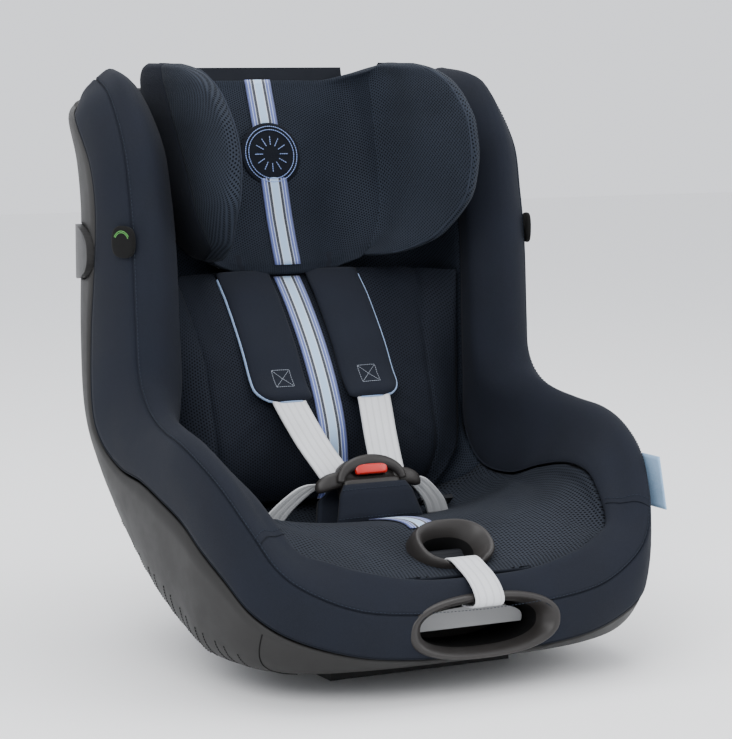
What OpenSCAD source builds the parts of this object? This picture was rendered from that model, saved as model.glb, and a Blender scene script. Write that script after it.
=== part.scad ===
// Convertible child car seat: a tub-shaped seat unit with side wings, a height-adjustable
// winged headrest, a five-point harness, pop-out side impact pods and a reclining dock sled.
// Millimetres. +Z up, the sitter faces -Y, X = 0 is the symmetry plane.
// Origin: middle of the sled's underside, on the surface that the seat stands on.

/* [Seat unit] */
// Width over the side walls of the shell
shell_w = 424; // [404:2:440]
// Wall thickness of the outer shell
shell_t = 3.5; // [3:0.5:4.5]
// Thickness of the back and seat padding
pad_t = 9; // [6:1:11]

/* [Headrest] */
// Height travel of the headrest
head_travel = 120; // [60:10:140]
// Lean of the headrest guides from vertical, degrees
head_lean = 14; // [12:1:16]
// Thickness of a headrest side wing
head_wing_t = 21; // [16:1:24]

/* [Harness] */
// Width of the shoulder and lap webbing
web_w = 35; // [25:1:38]
// Thickness of the webbing
web_t = 1.6; // [1.2:0.2:2]
// Width of a shoulder pad
shoulder_pad_w = 54; // [46:2:58]
// Width of the adjuster strap
adj_w = 28; // [24:1:32]

/* [Recline sled] */
// Radius of the recline track about its centre
track_r = 350; // [346:1:352]
// Recline range, degrees
recline_max = 15; // [6:1:15]
// Width of the sled
sled_w = 176; // [150:2:180]
// Radius of the two dock bars
dock_r = 5; // [4:0.5:6]

/* [Side impact pods] */
// Travel of a pod out of the side wall
pod_travel = 26; // [10:2:30]
// Half length and half height of a pod
pod_a = 44; // [38:1:46]
pod_b = 24; // [20:1:26]

/* [Hidden] */

$fn = 64;
sx = shell_w / 424;
// recline centre: the seat turns about the X axis through it
rc = [0, -60, 395];

// ---------- curve and surface helpers ----------
function flat(a) = [for (r = a) for (p = r) p];
function mix(a, b, t) = a + (b - a) * t;
function mx(p) = [-p.x, p.y, p.z];
function unit(v) = v / max(norm(v), 1e-9);
function wide(c) = [for (p = c) [p.x * sx, p.y, p.z]];
// Catmull-Rom curve through points, n steps to a span
function cr(p, n) = let (m = len(p)) [for (i = [0:m - 2]) for (k = [0:n - 1]) let (
    a = p[max(i - 1, 0)], b = p[i], c = p[i + 1], d = p[min(i + 2, m - 1)], t = k / n)
    0.5 * (2 * b + (c - a) * t + (2 * a - 5 * b + 4 * c - d) * t * t
    + (3 * b - a - 3 * c + d) * t * t * t), p[m - 1]];
function bez(a, b, c, d, n) = [for (k = [0:n]) let (t = k / n, s = 1 - t)
    a * s * s * s + b * 3 * s * s * t + c * 3 * s * t * t + d * t * t * t];
// half rib from a side point p to a centre point q, square-shouldered
function rib(p, q, k1, k2, n) = bez(p, [p.x, mix(p.y, q.y, k1), mix(p.z, q.z, k1)],
    [p.x * k2, q.y, q.z], q, n);
// half rib and its mirror image as one row
function both(r) = let (n = len(r)) concat(r, [for (k = [n - 2:-1:0]) mx(r[k])]);
// rows along the right side, then the same rows mirrored back up the left side
function around(g) = let (n = len(g)) concat(g, [for (k = [n - 2:-1:0]) [for (p = g[k]) mx(p)]]);
// unit normal of a grid of points at row i, column j
function gn(g, i, j) = let (a = g[min(i + 1, len(g) - 1)][j] - g[max(i - 1, 0)][j],
    b = g[i][min(j + 1, len(g[0]) - 1)] - g[i][max(j - 1, 0)]) unit(cross(a, b));
function shifted(g, d) = [for (i = [0:len(g) - 1]) [for (j = [0:len(g[0]) - 1])
    g[i][j] + d * gn(g, i, j)]];
// closed solid between two grids of the same size; the cells from row h[0] to h[1] and from
// column h[2] to h[3] are left open, with walls around them
module slab(a, b, h = [0, 0, 0, 0]) {
  r = len(a); c = len(a[0]); n = r * c;
  function f(i, j) = i * c + j;
  function g(i, j) = n + i * c + j;
  function q(w, x, y, z) = [[w, x, y], [w, y, z]];
  function gone(i, j) = i < 0 || j < 0 || i > r - 2 || j > c - 2
      || (i >= h[0] && i < h[1] && j >= h[2] && j < h[3]);
  function cell(i, j) = concat(
      q(f(i, j), f(i, j + 1), f(i + 1, j + 1), f(i + 1, j)),
      q(g(i, j), g(i + 1, j), g(i + 1, j + 1), g(i, j + 1)),
      gone(i - 1, j) ? q(f(i, j), g(i, j), g(i, j + 1), f(i, j + 1)) : [],
      gone(i + 1, j) ? q(f(i + 1, j), f(i + 1, j + 1), g(i + 1, j + 1), g(i + 1, j)) : [],
      gone(i, j - 1) ? q(f(i, j), f(i + 1, j), g(i + 1, j), g(i, j)) : [],
      gone(i, j + 1) ? q(f(i, j + 1), g(i, j + 1), g(i + 1, j + 1), f(i + 1, j + 1)) : []);
  polyhedron(concat(flat(a), flat(b)),
      flat([for (i = [0:r - 2]) for (j = [0:c - 2]) if (!gone(i, j)) cell(i, j)]), convexity = 6);
}
// flat outline in the YZ plane, extruded along X between x0 and x1
module along_x(x0, x1) translate([x0, 0, 0]) rotate([90, 0, 90]) linear_extrude(x1 - x0) children();
// ring section drawn as (x, radius below the recline centre), turned from a0 to a1 degrees
module arc(a0, a1) translate(rc) rotate([0, 90, 0]) rotate([0, 0, a0])
    rotate_extrude(angle = a1 - a0, $fn = 360) children();
function oval(a, b, n = 48, p = 0.85) = [for (k = [0:n - 1]) let (c = cos(k * 360 / n), s = sin(k * 360 / n))
    [a * sign(c) * pow(abs(c), p), b * sign(s) * pow(abs(s), p)]];

// ---------- rim of the tub, right half, from the back top corner to the front centre ----------
// hem of the cover on the outside of the shell
hem = wide([[188, 206, 478], [207, 165, 469], [212, 120, 431], [212, 108, 388], [212, 113, 335],
  [212, 122, 280], [212, 122, 216], [212, 102, 187], [213, 56, 170], [213, 11, 165],
  [213, -31, 155], [211, -70, 142], [209, -103, 124], [203, -134, 105], [191, -164, 80],
  [165, -189, 61], [115, -205, 45], [59, -209, 38], [0, -210, 37]]);
// sewn seam along the outer edge of the crest
seam = wide([[184, 172, 505], [193, 120, 491], [197, 80, 449], [197, 66, 402], [198, 58, 351],
  [198, 53, 285], [198, 49, 252], [199, 33, 230], [202, 5, 217], [207, -30, 211],
  [211, -68, 207], [209, -103, 195], [203, -135, 176], [192, -163, 147], [177, -183, 117],
  [153, -196, 98], [113, -207, 82], [59, -211, 75], [0, -212, 73]]);
// middle of the crest
crest = wide([[172, 168, 514], [180, 112, 503], [178, 70, 456], [176, 56, 405], [176, 48, 351],
  [176, 44, 286], [176, 41, 250], [180, 31, 235], [190, 4, 223], [196, -30, 217],
  [200, -68, 212], [199, -103, 201], [193, -134, 182], [183, -158, 152], [168, -177, 124],
  [146, -190, 108], [109, -201, 95], [57, -205, 88], [0, -205, 86]]);
// inner edge of the crest
inner = wide([[156, 176, 507], [158, 130, 492], [155, 92, 450], [153, 78, 402], [152, 70, 351],
  [152, 65, 290], [152, 60, 248], [158, 50, 222], [174, 18, 210], [182, -25, 206],
  [187, -66, 204], [186, -102, 192], [180, -130, 173], [171, -152, 148], [158, -168, 127],
  [137, -181, 116], [104, -192, 108], [55, -197, 99], [0, -197, 97]]);
// line where the plain cover meets the mesh
meshline = wide([[150, 196, 488], [150, 160, 470], [151, 118, 432], [152, 104, 390], [152, 98, 340],
  [153, 98, 285], [155, 98, 225], [156, 96, 180], [158, 70, 147], [160, 20, 143],
  [161, -30, 157], [162, -75, 166], [161, -112, 163], [156, -140, 146], [148, -162, 126],
  [128, -177, 119], [99, -187, 109], [52, -189, 98], [0, -190, 96]]);
// centre line of the padding, and of the outer shell
padline = [[0, 236, 494], [0, 233, 480], [0, 225, 440], [0, 214, 395], [0, 200, 345],
  [0, 166, 292], [0, 130, 238], [0, 102, 178], [0, 84, 118], [0, 52, 98],
  [0, 4, 108], [0, -42, 118], [0, -84, 123], [0, -122, 120], [0, -150, 112], [0, -172, 104],
  [0, -181, 100], [0, -186, 98], [0, -189, 96]];
spine = [[0, 270, 494], [0, 272, 470], [0, 272, 430], [0, 271, 385], [0, 268, 335],
  [0, 256, 270], [0, 234, 205], [0, 192, 137], [0, 130, 76], [0, 66, 37],
  [0, 20, 21], [0, -22, 13], [0, -60, 11], [0, -96, 12], [0, -128, 15],
  [0, -158, 20], [0, -184, 26], [0, -204, 33], [0, -208, 35]];
fine = 2;

hem_f = cr(hem, fine);
seam_f = cr(seam, fine);
crest_f = cr(crest, fine);
inner_f = cr(inner, fine);
mesh_f = cr(meshline, fine);
pad_f = cr(padline, fine);
spine_f = cr(spine, fine);
rows = len(hem_f) - 1;

// outer skin of the rim from the hem over the crest to the mesh line
function rim_row(i) = let (h = hem_f[i], s = seam_f[i], c = crest_f[i], n = inner_f[i],
    m = mesh_f[i], e = mix(h, s, 0.5) + [2.5 * h.x / 213, -1, 1.5], k = mix(n, m, 0.5) + [-2, 0, 1])
    cr([h, e, s, c, n, k, m], 2);
rim_right = [for (i = [0:rows]) rim_row(i)];
// back of the rim: a straight web from the hem to the mesh line
function web_row(i) = let (h = hem_f[i], m = mesh_f[i], n = len(rim_right[0]) - 1,
    a = h + [-1.5 * h.x / 213, 0, 0], b = m) [for (k = [0:n]) mix(a, b, k / n)];
web_right = [for (i = [0:rows]) web_row(i)];

// ribs of the outer shell, from just under the hem to the spine
function shell_start(i) = let (h = hem_f[i], s = spine_f[i])
    h + 4 * unit([0, s.y - h.y, s.z - h.z - 0.01]) + [-0.6 * h.x / 213, 0, 0];
// each rib has one point at the edge of the channel's slot, x = slot_x
shell_k = 10;
slot_x = sled_w / 2 + 9;
slot_k = 6;
slot_rows = [14, 28];
function bez1(a, b, c, d, t) = let (s = 1 - t) a * s * s * s + b * 3 * s * s * t + c * 3 * s * t * t + d * t * t * t;
function slot_t(x0, x2, lo = 0, hi = 1, n = 12) = n == 0 ? (lo + hi) / 2 : let (m = (lo + hi) / 2)
    bez1(x0, x0, x2, 0, m) > slot_x ? slot_t(x0, x2, m, hi, n - 1) : slot_t(x0, x2, lo, m, n - 1);
// how square the shoulders of each rib are: nearly square under the seat
function rib_a(i) = lookup(i / fine, [[4, 0.62], [7, 0.64], [9, 0.85], [12, 1], [15, 0.98], [18, 0.75]]);
function rib_b(i) = lookup(i / fine, [[4, 0.62], [7, 0.62], [9, 0.79], [12, 0.93], [15, 0.9], [18, 0.68]]);
function shell_rib(i) = let (p = shell_start(i), q = spine_f[i], k = rib_a(i),
    ts = p.x > slot_x + 20 ? slot_t(p.x, p.x * rib_b(i)) : 0.6)
    [for (j = [0:shell_k]) let (t = j <= slot_k ? ts * j / slot_k : mix(ts, 1, (j - slot_k) / (shell_k - slot_k)))
      bez1(p, [p.x, mix(p.y, q.y, k), mix(p.z, q.z, k)], [p.x * rib_b(i), q.y, q.z], q, t)];
shell_out = [for (i = [0:rows - 2]) both(shell_rib(i))];
shell_in = shifted(shell_out, -shell_t);

// ribs of the padding, from the mesh line to the centre line
function pad_k(i) = i < 4 * fine ? 1 : i > 8 * fine ? 0 : 2 - i / fine / 4;
function pad_rib(i) = let (m = mesh_f[i] + [-1.2 * min(1, mesh_f[i].x / 40), 1.2 * (i > 12 * fine ? 1 : 0), 0])
    rib(m + (i > 11 * fine ? 4.6 : 3.5) * unit([0, pad_f[i].y - m.y, pad_f[i].z - m.z]), pad_f[i],
    mix(0.6, 0.85, pad_k(i)), mix(0.66, 0.86, pad_k(i)), 8);
pad_front = [for (i = [0:rows - 2]) both(pad_rib(i))];
pad_back = shifted(pad_front, pad_t);
back_end = 8 * fine;
function part_of(g, i0, i1) = [for (i = [i0:i1]) g[i]];

// ---------- seat unit: hard parts ----------
bez_c = [0, -204, 60];
bez_tilt = 86;
module bezel_frame() translate(bez_c) rotate([bez_tilt, 0, 0]) children();
module pod_place(s) translate([s * 205 * sx, 158, 352]) rotate([0, s * 90, 0]) children();
module pod_outline(g = 0) polygon(oval(pod_b + g, pod_a + g, 40));

module channel_section(g = 0) {
  w = sled_w / 2 + 3;
  translate([track_r - 4 - g, -w - 4 - g]) square([4 + 2 * g, 2 * w + 8 + 2 * g]);
  for (s = [-1, 1]) translate([track_r - g, s * (w + 2) - 2 - g]) square([32 + g, 4 + 2 * g]);
}
module outer_shell() color("dimgray") difference() {
  // the slot around the recline channel is left out of the grid
  slab(shell_out, shell_in, [slot_rows[0], slot_rows[1], slot_k, 2 * shell_k - slot_k]);
  // openings for the side pods
  for (s = [-1, 1]) pod_place(s) translate([0, 0, -45]) linear_extrude(80) pod_outline(1.2);
}
module belly_channel() color("gray") difference() {
  channel_body();
  // guide slot of the lock pawl
  pawl_axis() translate([-8.4, -4.4, -6]) cube([16.8, 8.8, 14]);
}
module channel_body() {
  arc(-8.9, 43) channel_section();
  for (a = [-8.9, 42.2]) arc(a, a + 0.8) translate([track_r - 2, -sled_w / 2 - 5]) square([26, sled_w + 10]);
}

// cap between the top edges of the shell and the back padding, with gaps for the headrest posts
cap_a = rib(hem_f[0] + [-7, 0, 4], spine_f[0] + [0, -4.5, 1], 0.62, 0.62, 10);
cap_b = rib(mesh_f[0] + [5, 3, 6], pad_f[0] + [0, pad_t + 3, 0], 0.85, 0.88, 10);
cap_top = [for (t = [0:0.25:1]) both([for (k = [0:10]) mix(cap_a[k], cap_b[k], t)
    + [0, 0, 1.5 * sin(t * 180)]])];
module back_shell_rim() color("dimgray") difference() {
  slab([for (r = cap_top) [for (p = r) p - [0, 0, 3]]], cap_top);
  for (s = [-1, 1]) post_axis(s) translate([0, 0, -60]) cylinder(r = 8.6, h = 120);
}

// ---------- headrest guides ----------
head_o = [0, 226, 500];
post_x = 60;
post_r = 5;
module head_frame() translate(head_o) rotate([-head_lean, 0, 0]) children();
module post_axis(s) translate([s * post_x, 258, 500]) rotate([-head_lean, 0, 0]) children();
module guide_rods() color("silver") {
  for (s = [-1, 1]) post_axis(s) difference() {
    translate([0, 0, -160]) cylinder(r = 8, h = 134);
    translate([0, 0, -161]) cylinder(r = post_r + 0.06, h = 136);
  }
  for (z = [-150, -46]) post_axis(1) translate([-2 * post_x + 9.5, -2, z]) cube([2 * post_x - 19, 4, 16]);
}

// ---------- headrest ----------
module head_plate(g = 0) polygon([[-60 + g, -170 + g], [60 - g, -170 + g], [80 - g, -130], [89 - g, -70],
  [92 - g, -20], [92 - g, 14 - g], [-92 + g, 14 - g], [-92 + g, -20], [-89 + g, -70], [-80 + g, -130]]);
module headrest_shell() color("dimgray") {
  head_frame() rotate([90, 0, 0]) linear_extrude(3.5) head_plate();
  // bridge over the top of the back and the two posts
  difference() {
    head_frame() translate([-78, -0.01, 9.5]) cube([156, 43, 4.5]);
    head_frame() translate([-24, 16, 8]) cube([48, 22, 9]);
    head_frame() translate([-27.1, 20, 11.7]) rotate([0, 90, 0]) cylinder(r = 1.51, h = 54.2);
  }
  for (s = [-1, 1]) post_axis(s) translate([0, 0, -136]) cylinder(r = post_r, h = 138);
}
// centre cushion of the headrest, bulging a little toward the head
head_rows = [[-168, 58, 11], [-160, 63, 14], [-135, 79, 18], [-100, 88, 20], [-60, 94, 18],
  [-25, 99, 12], [-4, 101, 6], [6, 100, 4]];
module headrest_cushion() color("darkslategray") head_frame() slab(
  [for (r = cr(head_rows, 2)) [for (u = [-1:0.2:1]) [u * r[1], -4.2 - r[2] * sqrt(1 - 0.75 * u * u), r[0]]]],
  [for (r = cr(head_rows, 2)) [for (u = [-1:0.2:1]) [u * r[1], -4, r[0]]]]);
// side wings: rows of [height, front y, back y, outer x] in the row frame
wing_rows = [[338, 140, 165, 88], [345, 100, 168, 100], [359, 62, 172, 111], [373, 44, 176, 117],
  [387, 30, 180, 121], [399, 20, 184, 123], [412, 15, 188, 124], [436, 12, 194, 125],
  [458, 18, 200, 126], [471, 25, 204, 127], [484, 37, 207, 127], [495, 50, 209, 127],
  [505, 68, 210, 127], [513, 92, 208, 126], [519, 125, 200, 125]];
function wing_ring(r, s, g = 0) = let (z = r[0], f = r[1], b = r[2], x = r[3], t = head_wing_t,
    d = min(10, (b - f) / 3), q = min(1, (b - f) / 100)) [for (p = [
    [x - 3, b], [x, b - 12], [x + 1, mix(f, b, 0.5)], [x, f + d], [x - t * 0.3, f + 1], [x - t * 0.75, f],
    [x - t, f + d], [x - t - 1 * q, mix(f, b, 0.45)], [x - t - 4 * q, b - 14], [x - t - 7 * q, b]]) [s * p.x, p.y, z]];
module head_wing(s) color("midnightblue")
  slab([for (r = wing_rows) let (w = wing_ring(r, s)) [for (k = [0:4]) w[k]]],
       [for (r = wing_rows) let (w = wing_ring(r, s)) [for (k = [0:4]) w[9 - k]]]);
module headrest_wing_left() head_wing(-1);
module headrest_wing_right() mirror([1, 0, 0]) head_wing(-1);
module headrest_emblem() color("steelblue") head_frame() translate([0, -24.6, -84]) rotate([90, 0, 0])
  difference() { cylinder(r = 24, h = 1.6); translate([0, 0, -1]) cylinder(r = 19, h = 4); }
// squeeze lever behind the top of the headrest
module headrest_lever() color("darkgray") head_frame() difference() {
  union() {
    translate([-22, 20, 9.7]) cube([44, 17, 4]);
    translate([-22, 20, 11.7]) rotate([0, 90, 0]) cylinder(r = 3, h = 44);
  }
  translate([-25, 20, 11.7]) rotate([0, 90, 0]) cylinder(r = 1.55, h = 50);
}
module lever_pin() color("silver") head_frame() translate([-27, 20, 11.7]) rotate([0, 90, 0]) cylinder(r = 1.5, h = 54);

// ---------- soft seat parts ----------
module cover_rim() color("darkslateblue") difference() {
  slab(around(rim_right), around(web_right));
  bezel_frame() translate([0, 0, -70]) linear_extrude(130) polygon(oval(70.5, 24.5));
}
module back_pad() color("slategray") slab(part_of(pad_back, 0, back_end), part_of(pad_front, 0, back_end));
module seat_pad() color("slategray") difference() {
  slab(part_of(pad_back, back_end, rows - 2), part_of(pad_front, back_end, rows - 2));
  funnel_frame() translate([0, 0, -40]) linear_extrude(90) polygon(oval(40, 27));
}
// insert cushion for a small sitter, with a roll at its lower end
inlay_line = [[0, 166, 324], [0, 158, 318], [0, 142, 301], [0, 124, 279], [0, 107, 256], [0, 93, 234],
  [0, 79, 213], [0, 66, 188], [0, 59, 166], [0, 61, 140], [0, 70, 122]];
// half width and edge depth of the insert at each height, and the outer edge of its side flanks
function inlay_w(z) = lookup(z, [[122, 96], [140, 106], [160, 112], [252, 112], [290, 116], [326, 122]]);
function inlay_e(z) = lookup(z, [[122, 7], [133, 11], [160, 11], [206, 3], [252, -11], [290, -20], [326, -30]]);
function flank_x(z) = lookup(z, [[122, 106], [140, 122], [160, 140], [180, 147], [225, 148], [326, 146]]);
function flank_y(z) = lookup(z, [[122, 74], [140, 72], [160, 80], [180, 90], [225, 95], [326, 95]]);
inlay_u = [-1.3, -1.2, -1.1, -1, -0.85, -0.7, -0.5, -0.25, 0, 0.25, 0.5, 0.7, 0.85, 1, 1.1, 1.2, 1.3];
function inlay_row(p) = [for (u = inlay_u) let (c = min(1, abs(u)), f = max(0, abs(u) - 1) / 0.3, z = p.z + 2,
    e = p.y + 1 + inlay_e(z) * pow(c, 4), n = inlay_w(z) * c)
    [sign(u) * mix(n, flank_x(z), f), mix(e, flank_y(z), f), z]];
inlay_f = cr(inlay_line, 2);
inlay_a = [for (p = inlay_f) inlay_row(p)];
inlay_b = [for (i = [0:len(inlay_a) - 1]) [for (j = [0:16]) inlay_a[i][j]
    - (1.5 + 5 * max(0, 1 - pow(inlay_u[j], 2))) * gn(inlay_a, i, j)]];
module inlay_back_pad() color("lightsteelblue") slab(inlay_a, inlay_b);
module fabric_tag() color("lightblue") slab(
  [for (z = [133, 156, 178]) [for (y = [-168, -141]) [207.8 * sx, y + (z - 131) * 0.27, z]]],
  [for (z = [133, 156, 178]) [for (y = [-168, -141]) [206.8 * sx, y + (z - 131) * 0.27, z]]]);
module wing_badges() color("black") for (s = [-1, 1]) translate([s * 202 * sx, 64, 366]) rotate([0, 0, -s * 20])
  rotate([0, s * 90, 0]) cylinder(r = 14, h = 4);

// ---------- front handle and recline lock ----------
module front_bezel() color("dimgray") bezel_frame() difference() {
  union() {
    linear_extrude(4) polygon(oval(69.5, 23.5));
    translate([0, 0, -60]) linear_extrude(61) polygon(oval(65, 20.5, p = 0.66));
  }
  translate([0, 0, -57]) linear_extrude(70) polygon(oval(62, 18, p = 0.62));
}
hp = [0, 6, -50];
module handle_pivots() color("silver") bezel_frame() for (s = [-1, 1]) translate([s * 44, hp.y, hp.z])
  rotate([0, s * 90, 0]) cylinder(r = 2.5, h = 19);
module recline_handle() color("lightgray") bezel_frame() difference() {
  union() {
    translate([0, 0, hp.z + 21]) linear_extrude(10) intersection() {
      polygon(oval(50, 13));
      translate([-60, -4]) square([120, 40]);
    }
    translate([-50, hp.y, hp.z]) rotate([0, 90, 0]) cylinder(r = 5, h = 100);
    for (s = [-1, 1]) translate([s * 34 - 6, hp.y - 4, hp.z]) cube([12, 8, 22]);
  }
  translate([-51, hp.y, hp.z]) rotate([0, 90, 0]) cylinder(r = 2.56, h = 102);
}
pawl_a = 8;
module pawl_axis() translate(rc) rotate([pawl_a, 0, 0]) translate([0, 0, -track_r]) children();
module recline_pawl() color("silver") pawl_axis() {
  translate([-8, -4, -4]) cube([16, 8, 26]);
  translate([-12, -6, 16]) cube([24, 12, 4]);
}

// ---------- harness ----------
// flat strap along a path, w wide across X, t thick
module strap(path, w, t) {
  a = [for (p = path) [p - [w / 2, 0, 0], p + [w / 2, 0, 0]]];
  slab(a, shifted(a, t));
}
fn_c = [0, -152, 116];
module funnel_frame() translate(fn_c) rotate([34, 0, 0]) children();
module adjuster_funnel() color("dimgray") funnel_frame() difference() {
  union() {
    translate([0, 0, -14]) linear_extrude(22) polygon(oval(38, 25.5));
    translate([0, 0, -26]) linear_extrude(13) polygon(oval(34, 22));
  }
  translate([0, 0, -23]) linear_extrude(50) polygon(oval(31, 19));
  translate([-adj_w / 2 - 2, -40, 1.5]) cube([adj_w + 4, 40, 20]);
  translate([-32.1, 8, -17]) rotate([0, 90, 0]) cylinder(r = 2.01, h = 64.2);
}
module adjuster_pin() color("silver") funnel_frame() translate([-32, 8, -17]) rotate([0, 90, 0])
  cylinder(r = 2, h = 64);
module adjuster_button() color("gray") funnel_frame() difference() {
  union() {
    translate([-20, -4, -18]) cube([40, 13, 4]);
    translate([-20, 8, -17]) rotate([0, 90, 0]) cylinder(r = 4.2, h = 40);
  }
  translate([-21, 8, -17]) rotate([0, 90, 0]) cylinder(r = 2.06, h = 42);
}
module adjuster_strap() color("whitesmoke")
  strap([[0, -167, 112], [0, -177, 109], [0, -188, 104.5], [0, -198, 100.4], [0, -206.5, 93],
    [0, -211, 85.5], [0, -211.8, 81], [0, -209.3, 77.6], [0, -203, 76], [0, -196, 75.4]], adj_w, web_t);
module buckle_frame() translate([0, -4, 147]) rotate([-20, 0, 0]) children();
module buckle_housing() color("dimgray") buckle_frame() difference() {
  intersection() {
    translate([-29, -11, -24]) cube([58, 20, 46]);
    translate([0, 20, -32]) rotate([90, 0, 0]) cylinder(r = 56, h = 40);
  }
  translate([-16.5, -12, 3.5]) cube([33, 9.5, 15]);
  for (s = [-1, 1]) translate([s * 22 - 9, -2, -4]) cube([18, 5, 14]);
}
module buckle_button() color("red") buckle_frame() translate([-16, -12.5, 4]) cube([32, 5.5, 14]);
module tongues() color("dimgray") for (s = [-1, 1]) buckle_frame() {
  translate([s * 27 - 12, -1, -3]) cube([24, 3, 12]);
  translate([s * 45 - 6, -3.5, -7]) cube([12, 8, 21]);
}
module crotch_strap() color("whitesmoke") buckle_frame() translate([-15, -1, -36]) cube([30, 2, 11.5]);
// padded sleeve in front of the buckle's lower half, with a flap behind the buckle
module crotch_pad() color("midnightblue") buckle_frame() difference() {
  union() {
    translate([0, 21, 0]) rotate([90, 0, 0]) linear_extrude(8)
      polygon([[-50, -32], [50, -32], [44, -8], [26, 4], [-26, 4], [-44, -8]]);
    translate([0, 13.01, 0]) rotate([90, 0, 0]) linear_extrude(30)
      polygon([[-42, -29], [42, -29], [40, -22], [36.5, -9], [-36.5, -9], [-40, -22]]);
    translate([0, -11.6, 0]) rotate([90, 0, 0]) linear_extrude(5.4)
      polygon([[-44, -36], [44, -36], [40, -22], [36.5, -9], [31, -0.5], [-31, -0.5], [-36.5, -9], [-40, -22]]);
  }
  translate([-29.6, -11.6, -24.6]) cube([59.2, 24.7, 30]);
  translate([-15.5, -1.5, -40]) cube([31, 3, 20]);
}
module shoulder_strap(s) color("whitesmoke") {
  strap([[s * 46, 197, 347], [s * 46, 194.5, 340], [s * 46, 189, 333.5], [s * 46, 176, 330],
    [s * 46, 163.2, 329.4]], web_w, web_t);
  strap([[s * 46, 78.5, 229.5], [s * 46.5, 66, 214], [s * 47.5, 38, 182], [s * 48.5, 12.5, 158]], web_w, web_t);
}
module shoulder_strap_left() shoulder_strap(-1);
module shoulder_strap_right() shoulder_strap(1);
pad_path = [[0, 161, 328], [0, 152, 317], [0, 137, 301], [0, 119, 280], [0, 102, 258], [0, 88, 236],
  [0, 82.5, 227.5]];
module shoulder_pad(s) color("midnightblue") translate([s * 46, 0, 0]) {
  a = [for (i = [0:6]) [for (u = [-1:0.25:1]) let (w = shoulder_pad_w / 2 - (i == 0 || i == 6 ? 4 : 0))
      pad_path[i] + [u * w, 0, 0] + (8 * pow(1 - 0.8 * u * u, 0.5)) * [0, -0.76, 0.65]]];
  b = [for (i = [0:6]) [for (u = [-1:0.25:1]) let (w = shoulder_pad_w / 2 - (i == 0 || i == 6 ? 4 : 0))
      pad_path[i] + [u * w, 0, 0] + [0, -0.4, 0.5]]];
  slab(b, a);
}
module shoulder_pad_left() shoulder_pad(-1);
module shoulder_pad_right() shoulder_pad(1);
module lap_strap(s) color("whitesmoke") strap([[s * 62, 9, 149], [s * 74, 18, 138], [s * 86, 27, 127],
  [s * 94, 36, 121]], 24, web_t);
module lap_strap_left() lap_strap(-1);
module lap_strap_right() lap_strap(1);
module harness_anchors() color("dimgray") for (s = [-1, 1]) translate([s * 95, 43, 118]) rotate([-40, 0, 0])
  difference() { translate([-17, -5, -1.5]) cube([34, 10, 4]); translate([-14, -2.2, -3]) cube([28, 4.4, 8]); }

// ---------- side impact pods ----------
module pod_bores() for (y = [-30, -4]) translate([0, y, 0]) children();
module pod(s) color("gray") difference() {
  union() {
    intersection() {
      pod_place(s) translate([0, 0, -29]) linear_extrude(60) pod_outline();
      translate([s * (shell_w / 2 - 141), 112, 300]) cylinder(r = 147, h = 100, $fn = 180);
      translate([s * (shell_w / 2 - 174), 0, 352]) rotate([-90, 0, 0]) cylinder(r = 180, h = 260, $fn = 180);
    }
    pod_place(s) pod_bores() translate([0, 0, -36]) cylinder(r = 7, h = 8);
  }
  pod_place(s) pod_bores() translate([0, 0, -37]) cylinder(r = 4.06, h = 40);
}
module pod_left() pod(-1);
module pod_right() pod(1);
module pod_guides() color("silver") for (s = [-1, 1]) pod_place(s) {
  translate([-14, -42, -42]) cube([28, 50, 3]);
  pod_bores() translate([0, 0, -39.01]) cylinder(r = 4, h = 40);
}

// ---------- recline sled ----------
frame_a = [-6, 26];
roll_a = [-2, 22];
module at_angle(a, r) translate(rc) rotate([a, 0, 0]) translate([0, 0, -r]) children();
dock_y = [-76, 62];
module sled_frame() color("slategray") difference() {
  intersection() {
    arc(frame_a[0], frame_a[1]) translate([track_r + 2, -sled_w / 2]) square([70, sled_w]);
    translate([-sled_w / 2, -120, 0]) cube([sled_w, 260, 120]);
  }
  // rack slot, roller pockets and roller axle bores
  arc(frame_a[0] - 1, frame_a[1] + 1) translate([track_r, -13]) square([16, 26]);
  for (a = roll_a) for (s = [-1, 1]) at_angle(a, track_r + 6.5) translate([s * 52, 0, 0]) rotate([0, 90, 0]) {
    cylinder(r = 7.5, h = 42, center = true);
    cylinder(r = 3, h = 58, center = true);
  }
  // sockets for the base's locating pegs, and its hook notches
  for (s = [-1, 1]) translate([s * 36, 0, -0.01]) cylinder(r = 8, h = 24.01);
  for (y = dock_y) for (s = [-1, 1]) translate([s * 46 - 16, y - 12, -0.01]) cube([32, 24, 20]);
  for (y = dock_y) translate([-70, y, 9]) rotate([0, 90, 0]) cylinder(r = dock_r + 0.05, h = 140);
  for (x = [-70, 70]) for (y = [-55, 38]) translate([x, y, -0.01]) cylinder(r = 8.05, h = 3.01);
  for (x = [-18, 18]) for (y = [-48, 40]) translate([x, y, -0.01]) { cylinder(r = 4.5, h = 4); cylinder(r = 2.5, h = 16); }
}
module dock_bars() color("silver") for (y = dock_y) translate([-70, y, 9]) rotate([0, 90, 0]) cylinder(r = dock_r, h = 140);
module sled_rollers() color("black") for (a = roll_a) for (s = [-1, 1])
  at_angle(a, track_r + 6.5) translate([s * 52, 0, 0]) rotate([0, 90, 0]) {
    cylinder(r = 6, h = 40, center = true);
    cylinder(r = 2.95, h = 56, center = true);
  }
module recline_rack() color("silver") difference() {
  arc(frame_a[0] + 0.5, frame_a[1] - 0.5) translate([track_r + 7, -12]) square([8.5, 24]);
  for (a = [-4:3:25]) at_angle(a, track_r + 7) rotate([0, 90, 0]) cylinder(r = 2.6, h = 40, center = true, $fn = 24);
}
module rubber_feet() color("black") for (x = [-70, 70]) for (y = [-55, 38]) translate([x, y, 0]) cylinder(r = 8, h = 2.9);
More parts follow.
